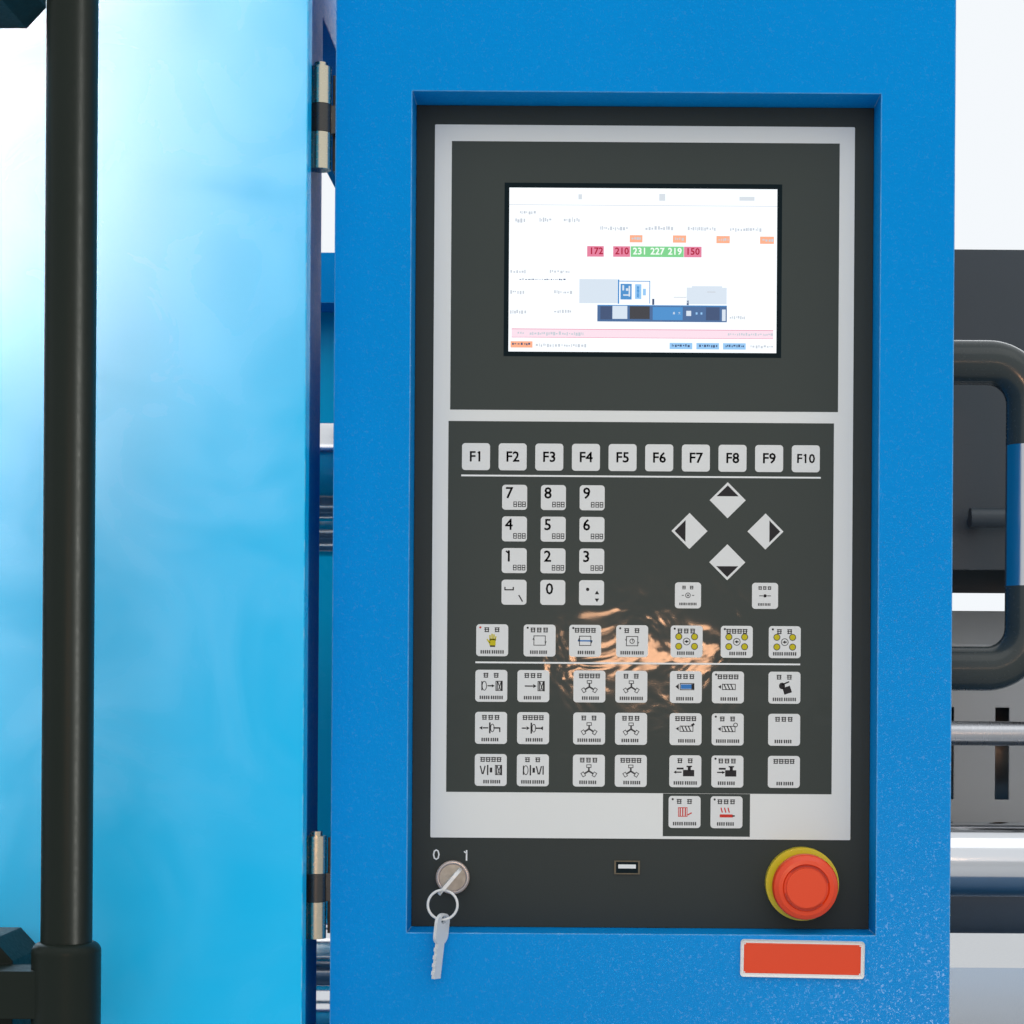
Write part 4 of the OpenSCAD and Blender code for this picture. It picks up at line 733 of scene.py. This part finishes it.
def keySigns(y):
    words = []
    tall, bold = signs["digitTall"], signs["digitBold"]
    for n, (x, z, w, h) in enumerate(keys["function"]):
        size = signs["functionTall"][n == 9]
        words.append(addText("F" + str(n + 1), *onFilm(x, z + signs["functionDown"]), size, y, "blackInk"))
    right, down = signs["digitAt"]
    for sign, (x, z, w, h) in zip(keys["digits"], keys["digit"]):
        words.append(addText(sign, *onFilm(x + right, z + down), tall, y, "blackInk", bold))
    x, z, w, h = keys["digit"][10]
    right, down = signs["zeroAt"]
    words.append(addText("0", *onFilm(x + right, z + down), tall, y, "blackInk", bold))
    return words


def makeLegends():
    y = keyY - signs["lift"]
    piece = drawPieces("key_pictures", keyMarks(), legendInks, y)
    piece = joinAll([piece] + keySigns(y))
    piece.name = "key_pictures"
    finishPiece(piece, signs["thick"], "control_box")


makeLegends()
print("key legends made")

# Light faces of the keys, laid on the embossed keys
keyCaps = {"inset": .35, "radius": 1.8, "thick": .00002}


def makeKeyCaps():
    shapes = []
    for group in ("function", "digit", "enter", "mode", "axis", "heat"):
        for x, z, w, h in keys[group]:
            px, pz = onFilm(x, z)
            w, h = (w - keyCaps["inset"]) / 1000, (h - keyCaps["inset"]) / 1000
            shapes.append(("bar", px, pz, w, h, 0, 0))
    for x, z, turn in keys["arrow"]:
        px, pz = onFilm(x, z)
        side = (keys["arrowHalf"] * math.sqrt(2) - keyCaps["inset"]) / 1000
        shapes.append(("bar", px, pz, side, side, 45, 0))
    piece = drawPieces("key_faces", shapes, ["keyGrey"], keyY)
    chooseFaces()
    bpy.ops.mesh.bevel(offset=keyCaps["radius"] / 1000, segments=3, affect="VERTICES")
    setMode("OBJECT")
    finishPiece(piece, keyCaps["thick"], "control_box")


makeKeyCaps()
print("key faces made")

# Marks and plates round the panel's controls, local to the control box in metres
panel = {
    "switch": (.0865, 1.161), "stop": (.3165, 1.1585), "usb": (.2014, 1.168), "panelY": .03,
    "signs": [("0", -.0112, .0142), ("1", .0088, .0138)], "signTall": .0102,
    "flag": (.0079, .0162, .002, .0008, -38),
    "lift": .00003, "thick": .00003,
    "ring": (.0088, .0107), "ringThick": .0009, "ringRound": .0004, "discPart": .96, "discLift": .0002,
    "discThick": .0003,
    # mouth: the size of a dark sheet of painted shade in the data socket's mouth
    "mouth": (.0146, .0074), "mouthLift": .00002, "tongue": (.0007, .0116, .0026), "tongueLift": .00008,
    "tongueThick": .0002,
    "label": (.31425, 1.11265, .08, .024), "labelThick": .0006, "labelRound": .0022, "labelRed": .0765,
    "labelStep": (.0003, .0001), "labelTurn": -.8,
}


def onBox(name):
    return boxAt["hinge"] + panel[name][0], panel[name][1]


def makeMarks():
    x, z = onBox("switch")
    y = boxAt["front"] + panel["panelY"] - panel["lift"]
    tall = panel["signTall"]
    made = [addText(sign, x + right, z + up, tall, y, "whiteInk", 0) for sign, right, up in panel["signs"]]
    right, up, w, h, turn = panel["flag"]
    made.append(drawPieces("flag", [("bar", x + right, z + up, w, h, turn, 0)], ["whiteInk"], y))
    piece = joinAll(made)
    piece.name = "switch_marks"
    finishPiece(piece, panel["thick"], "control_box")


def thickenFrame(piece, thick, rounding, segments):
    # Thickens a flat frame and rounds its edges
    wall = piece.modifiers.new("thickness", "SOLIDIFY")
    wall.thickness, wall.offset = thick, 1
    bpy.ops.object.modifier_apply(modifier=wall.name)
    rim = piece.modifiers.new("rim", "BEVEL")
    rim.width, rim.segments = rounding, segments
    bpy.ops.object.modifier_apply(modifier=rim.name)
    bpy.ops.object.shade_smooth_by_angle(angle=math.radians(50))


def makeSwitchRing():
    # The polished ring round the key switch's face
    x, z = onBox("switch")
    inner, outer = panel["ring"]
    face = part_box("switch_body")[0][1]
    facing = dict(location=(x, face, z), rotation=(math.pi / 2, 0, 0))
    clearChoice()
    bpy.ops.mesh.primitive_circle_add(vertices=64, radius=outer, fill_type="NGON", **facing)
    ring = bpy.context.object
    ring.name = ring.data.name = "switch_ring"
    ring.data.materials.append(finish["bareSteel"])
    bpy.ops.object.transform_apply()
    chooseFaces()
    bpy.ops.mesh.inset(thickness=outer - inner)
    bpy.ops.mesh.delete(type="FACE")
    setMode("OBJECT")
    thickenFrame(ring, panel["ringThick"], panel["ringRound"], 3)
    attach(ring, "control_box")
    # The brushed face of the barrel turns with the key
    wide = 2 * inner * panel["discPart"]
    y = face - panel["discLift"]
    shapes = [("disc", x, z, wide, wide, 0, 0)]
    layPiece("barrel_face", shapes, ["barrelSteel"], y, panel["discThick"], "switch_key")


def makeSocketFace():
    # The data socket's pale tongue, and a dark sheet of painted shade in its mouth
    x, z = onBox("usb")
    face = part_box("usb_socket")[0][1]
    w, h = panel["mouth"]
    y = face - panel["mouthLift"]
    layPiece("socket_mouth_shade", [bar(x, z, w, h, 0, 0)], ["bezelAndShadeInk"], y, panel["thick"])
    up, w, h = panel["tongue"]
    y = face - panel["tongueLift"]
    layPiece("socket_tongue", [bar(x, z + up, w, h, 0, 0)], ["whiteInk"], y, panel["tongueThick"])


def makeLabel():
    x, z = onBox("label")
    w, h = panel["label"][2:]
    thick = panel["labelThick"]
    at = (x, boxAt["front"] - thick / 2, z)
    tilt = (0, math.radians(-panel["labelTurn"]), 0)
    clearChoice()
    bpy.ops.mesh.primitive_cube_add(size=1, scale=(w, thick, h), location=at, rotation=tilt)
    plate = bpy.context.object
    plate.name = "stop_label"
    plate.data.materials.append(finish["whiteInk"])
    plate.data.materials.append(finish["stopRed"])
    bpy.ops.object.transform_apply()
    setMode("EDIT")
    bpy.ops.mesh.select_all(action="DESELECT")
    setMode("OBJECT")
    for edge in plate.data.edges:   # the four short edges through the plate's thickness
        a, b = (plate.data.vertices[v].co for v in edge.vertices)
        edge.select = abs(a.y - b.y) > thick * .8
    setMode("EDIT")
    bpy.ops.mesh.bevel(offset=panel["labelRound"], segments=5)
    bpy.ops.mesh.select_all(action="DESELECT")
    setMode("OBJECT")
    for face in plate.data.polygons:
        face.select = face.normal.y < -.9
    setMode("EDIT")
    bpy.ops.mesh.inset(thickness=(w - panel["labelRed"]) / 2)
    plate.active_material_index = 1
    bpy.ops.object.material_slot_assign()
    step, depth = panel["labelStep"]
    bpy.ops.mesh.inset(thickness=step, depth=-depth)
    setMode("OBJECT")
    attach(plate, "control_box")


makeMarks()
makeSwitchRing()
makeSocketFace()
makeLabel()
print("marks and label made")

# Socket screws: one of each size is modelled, and each place gets its own copy. Lengths in metres
screws = {
    "small": dict(radius=.0055, tall=.0045), "large": dict(radius=.012, tall=.012),
    "towards": {"-x": (-1, 0, 0), "+x": (1, 0, 0), "-y": (0, -1, 0), "+y": (0, 1, 0), "+z": (0, 0, 1)},
    "hoodLeft": .03, "hoodRight": .02, "hoodLow": .03, "hoodHigh": .025, "hoodRows": (1.12, 1.46),
    "coverIn": .04, "coverUp": .06, "flange": .025, "flangeRing": .0558,
    "shotAxes": (-.15, .15), "shotZ": 1.23, "rodAxes": (-.26, .26), "postIn": .02, "postSide": .04,
}


def makeScrew(size, skin):
    r, tall = screws[size]["radius"], screws[size]["tall"]
    clearChoice()
    bpy.ops.mesh.primitive_cylinder_add(vertices=18, radius=r, depth=tall, location=(0, 0, tall / 2))
    screw = bpy.context.object
    screw.data.materials.append(finish[skin])
    bpy.ops.object.transform_apply()
    for face in screw.data.polygons:
        face.select = face.normal.z > .9
    for edge in screw.data.edges:
        edge.select = False
    setMode("EDIT")
    bpy.ops.mesh.select_mode(type="FACE")
    bpy.ops.mesh.inset(thickness=r * .16, depth=r * .08)
    bpy.ops.mesh.inset(thickness=r * .34)
    bpy.ops.mesh.extrude_region_move(TRANSFORM_OT_translate={"value": (0, 0, -tall * .55)})
    setMode("OBJECT")
    bpy.ops.object.shade_smooth_by_angle(angle=math.radians(38))
    return screw


def copyScrews(name, screw, spots, body):
    copies = []
    for x, y, z, way in spots:
        one = screw.copy()
        one.data = screw.data.copy()
        bpy.context.scene.collection.objects.link(one)
        one.location = (x, y, z)
        one.rotation_euler = Vector(screws["towards"][way]).to_track_quat("Z", "Y").to_euler()
        copies.append(one)
    piece = joinAll(copies)
    bpy.ops.object.transform_apply()
    piece.name = piece.data.name = name
    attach(piece, body)
    return piece


def along(lo, hi, count):
    return [lo + (hi - lo) * i / (count - 1) for i in range(count)]


def ringSpots(x, y, z, way, radius, count, start=0):
    spots = []
    for i in range(count):
        a = math.radians(start + 360 * i / count)
        spots.append((x, y + radius * math.cos(a), z + radius * math.sin(a), way))
    return spots


def makeScrews():
    small, large = makeScrew("small", "bareSteel"), makeScrew("large", "blackenedSteel")
    left, right, low, high = (screws[key] for key in ("hoodLeft", "hoodRight", "hoodLow", "hoodHigh"))
    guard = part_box("clamp_guard")
    x0, y0, z0 = guard[0]
    x1, y1, z1 = guard[1]
    spots = []
    for side, y in (("-y", y0), ("+y", y1)):
        for x in along(x0 + left, x1 - right, 5):
            spots += [(x, y, z0 + low, side), (x, y, z1 - high, side)]
        for x in (x0 + left, x1 - right):
            spots += [(x, y, z, side) for z in screws["hoodRows"]]
    for z in along(z0 + low, z1 - high, 4):
        spots += [(x0, y0 + left, z, "-x"), (x0, y1 - left, z, "-x")]
    copyScrews("hood_screws", small, spots, "machine")
    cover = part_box("barrel_cover")
    inwards = screws["coverIn"]
    z = cover[0][2] + screws["coverUp"]
    spots = [(x, y, z, way) for x in along(cover[0][0] + inwards, cover[1][0] - inwards, 4)
             for y, way in ((cover[0][1], "-y"), (cover[1][1], "+y"))]
    copyScrews("cover_screws", small, spots, "carriage")
    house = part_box("carriage_housing")
    x = house[1][0] + screws["flange"]
    spots = []
    for y in screws["shotAxes"]:
        spots += ringSpots(x, y, screws["shotZ"], "+x", screws["flangeRing"], 6, 30)
    copyScrews("cylinder_screws", small, spots, "carriage")
    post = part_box("rod_pedestals")
    spots = []
    for y in screws["rodAxes"]:
        for side in (-1, 1):
            for x in (post[0][0] + screws["postIn"], post[1][0] - screws["postIn"]):
                spots.append((x, y + side * screws["postSide"], post[1][2], "+z"))
    copyScrews("pedestal_screws", large, spots, "machine")
    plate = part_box("injection_plate")
    spots = [(plate[1][0], y, screws["shotZ"], "+x") for y in screws["shotAxes"]]
    copyScrews("rod_end_screws", large, spots, "injection")
    choose([small, large])
    bpy.ops.object.delete()


makeScrews()
print("screws made")

# Black rubber round the front door's window
gasket = {
    "x": (-1.0421, -.4421), "z": (1.126, 1.646), "front": -.589, "width": .016, "thick": .0035,
    "corner": .02, "lap": .002, "round": .0012,
}


def makeGasket():
    x0, x1 = gasket["x"]
    z0, z1 = gasket["z"]
    w = gasket["width"]
    middle = ((x0 + x1) / 2, gasket["front"], (z0 + z1) / 2)
    clearChoice()
    bpy.ops.mesh.primitive_plane_add(size=1, location=middle, rotation=(math.pi / 2, 0, 0))
    seal = bpy.context.object
    seal.name = seal.data.name = "window_gasket"
    seal.scale = (x1 - x0 + 2 * w, z1 - z0 + 2 * w, 1)
    bpy.ops.object.transform_apply()
    seal.data.materials.append(finish["rubber"])
    chooseFaces()
    bpy.ops.mesh.bevel(offset=gasket["corner"], segments=5, affect="VERTICES")
    bpy.ops.mesh.select_all(action="SELECT")
    bpy.ops.mesh.inset(thickness=w + gasket["lap"])
    bpy.ops.mesh.delete(type="FACE")
    setMode("OBJECT")
    thickenFrame(seal, gasket["thick"], gasket["round"], 2)
    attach(seal, "front_door")


makeGasket()

# Two curved arrows pressed into the stop button's head, drawn as darker red strokes of painted shade
arrowGroove = {"radius": .0142, "width": .0009, "step": 11, "count": 11, "starts": (20, 200),
    "thick": .00005}


def makeStopGrooves():
    x, z = onBox("stop")
    r, step, thick = arrowGroove["radius"], arrowGroove["step"], arrowGroove["thick"]
    chord = 2 * r * math.sin(math.radians(step / 2)) * 1.05   # a little long, to overlap
    shapes = []
    for start in arrowGroove["starts"]:
        for i in range(arrowGroove["count"]):
            a = math.radians(start + step * i)
            px, pz = x + r * math.cos(a), z + r * math.sin(a)
            shapes.append(("bar", px, pz, arrowGroove["width"], chord, math.degrees(a), 0))
    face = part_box("stop_head")[0][1]
    layPiece("stop_groove_shade", shapes, ["grooveShadeRed"], face - thick, thick, "stop_head")


makeStopGrooves()

# Steel pipes from the shot cylinders' ports to the carriage housing
pipes = {"radius": .008, "paths": [
    [(1.06, .15, 1.285), (1.06, .15, 1.36), (1.03, .17, 1.42), (.975, .21, 1.425), (.955, .23, 1.4)],
    [(1.26, .15, 1.285), (1.26, .15, 1.375), (1.2, .19, 1.44), (1.02, .25, 1.445), (.9, .27, 1.4)],
]}


def makePipes():
    made = []
    for sy in (-1, 1):
        for path in pipes["paths"]:
            clearChoice()
            bpy.ops.curve.primitive_nurbs_path_add(location=(0, 0, 0))
            pipe = bpy.context.object
            points = pipe.data.splines[0].points
            for point, (x, y, z) in zip(points, path):
                point.co = (x, y * sy, z, 1)
            pipe.data.splines[0].use_endpoint_u = True
            pipe.data.bevel_depth = pipes["radius"]
            pipe.data.bevel_resolution = 3
            pipe.data.resolution_u = 8
            pipe.data.use_fill_caps = True
            bpy.ops.object.convert(target="MESH")
            made.append(bpy.context.object)
    piece = joinAll(made)
    piece.name = piece.data.name = "cylinder_pipes"
    piece.data.materials.clear()
    piece.data.materials.append(finish["bareSteel"])
    bpy.ops.object.shade_smooth_by_angle(angle=math.radians(50))
    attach(piece, "carriage")


makePipes()
print("gasket, grooves and pipes made")

# Room, light and camera, in metres, degrees and watts. A lamp may show only in reflections, or only in
# matt surfaces, and may be kept to one node
studio = {
    "sky": (.93, .955, .98), "skyPower": .9, "seen": (.93, .965, 1), "seenPower": .98,
    "floor": look((.62, .63, .64), (.58, .59, .6), .45, 60, .05, patch=1.5),
    "floorSize": 240, "floorDown": .0005,
    "camera": (-.0265, -1.813, 1.2917), "lens": 68.1, "sensor": 36, "roll": .38, "shift": (-.076, .164),
    "near": .05,
}
lamps = {
    "doorSheen": dict(at=(-1.68, -3, 2.84), size=(1.6, 1.7), aim=(-.35, -.58, 1.6), power=1850,
        colour=(.97, .99, 1), only="glossy", on="front_door"),
    "frontSoft": dict(at=(-.5, -3.6, 2.7), size=(3.2, 2.2), aim=(-.1, -.5, 1.3), power=16,
        colour=(.98, .99, 1), only="diffuse"),
    "topSoft": dict(at=(.5, -2, 3.6), size=(3.2, 1.6), aim=(0, -.4, 1.2), power=12, colour=(1, .985, .96)),
    "backWash": dict(at=(1.2, 3, 3), size=(3.5, 2), aim=(.3, 0, 1.2), power=34, colour=(.95, .98, 1)),
    "lowGlint": dict(at=(.62, -2.35, .56), size=(.16, .16), aim=(.19, -.56, 1.06), power=50,
        colour=(1, .97, .95), only="glossy", on="box_shell"),
    "doorSheenLow": dict(at=(-1.98, -3, 1.75), size=(.9, 1.5), aim=(-.45, -.58, 1.4), power=560,
        colour=(.97, .99, 1), only="glossy", on="front_door"),
    "gripStreak": dict(at=(1.69, -2.1, 1.5), size=(.35, 1.8), aim=(-.36, -.66, 1.4), power=110,
        colour=(1, 1, .92), only="glossy", on="pull_handle"),
    "warmTube": dict(at=(.06, -2.35, 1.33), size=(.2, .05), aim=(0, -.53, 1.31), power=3.6,
        colour=(1, .52, .28), only="glossy"),
    "warmLamp": dict(at=(.52, -2.35, 1.36), size=(.1, .1), aim=(.1, -.53, 1.35), power=.5,
        colour=(1, .62, .38)),
}


def aimAt(thing, at, target):
    thing.location = at
    thing.rotation_euler = (Vector(target) - Vector(at)).to_track_quat("-Z", "Y").to_euler()


def setSky():
    # The sky lights the machine a little less than it shows itself and its reflections
    world = bpy.data.worlds.new("studioSky")
    bpy.context.scene.world = world
    world.use_nodes = True
    nodes, link = world.node_tree.nodes, world.node_tree.links.new
    seen = nodes.new("ShaderNodeBackground")
    seen.inputs["Color"].default_value = (*studio["seen"], 1)
    seen.inputs["Strength"].default_value = studio["seenPower"]
    lit = nodes["Background"]
    lit.inputs["Color"].default_value = (*studio["sky"], 1)
    lit.inputs["Strength"].default_value = studio["skyPower"]
    rays = nodes.new("ShaderNodeLightPath")
    shown = rays.outputs["Is Camera Ray"]
    for kind in ("Is Glossy Ray", "Is Transmission Ray"):
        most = nodes.new("ShaderNodeMath")
        most.operation = "MAXIMUM"
        link(shown, most.inputs[0])
        link(rays.outputs[kind], most.inputs[1])
        shown = most.outputs[0]
    mix = nodes.new("ShaderNodeMixShader")
    link(shown, mix.inputs[0])
    link(lit.outputs[0], mix.inputs[1])
    link(seen.outputs[0], mix.inputs[2])
    link(mix.outputs[0], nodes["World Output"].inputs["Surface"])


def setLamp(name, s):
    light = bpy.data.lights.new(name, "AREA")
    light.shape = "RECTANGLE"
    light.size, light.size_y = s["size"]
    light.energy = s["power"]
    light.color = s["colour"]
    lamp = bpy.data.objects.new(name, light)
    bpy.context.scene.collection.objects.link(lamp)
    aimAt(lamp, s["at"], s["aim"])
    lamp.visible_diffuse = s.get("only") != "glossy"
    lamp.visible_glossy = s.get("only") != "diffuse"
    if "on" in s:   # this light falls on one node only, and nothing else shades it
        only = bpy.data.collections.new(name + "Only")
        only.objects.link(parts[s["on"]])
        lamp.light_linking.receiver_collection = only
        lamp.light_linking.blocker_collection = only


def setCamera():
    eye = bpy.data.cameras.new("operatorView")
    eye.lens = studio["lens"]
    eye.sensor_width = studio["sensor"]
    eye.shift_x, eye.shift_y = studio["shift"]
    eye.clip_start = studio["near"]
    camera = bpy.data.objects.new("operatorView", eye)
    bpy.context.scene.collection.objects.link(camera)
    camera.location = studio["camera"]
    camera.rotation_euler = (math.pi / 2, math.radians(-studio["roll"]), 0)
    bpy.context.scene.camera = camera
    bpy.context.scene.view_settings.view_transform = "Standard"


def setStudio():
    clearChoice()
    bpy.ops.mesh.primitive_plane_add(size=studio["floorSize"], location=(0, 0, -studio["floorDown"]))
    floor = bpy.context.object
    floor.name = "studio_floor"
    floor.data.materials.append(makeFinish("floorPaint", studio["floor"]))
    setSky()
    for name, s in lamps.items():
        setLamp(name, s)
    setCamera()


setStudio()
print("studio set")
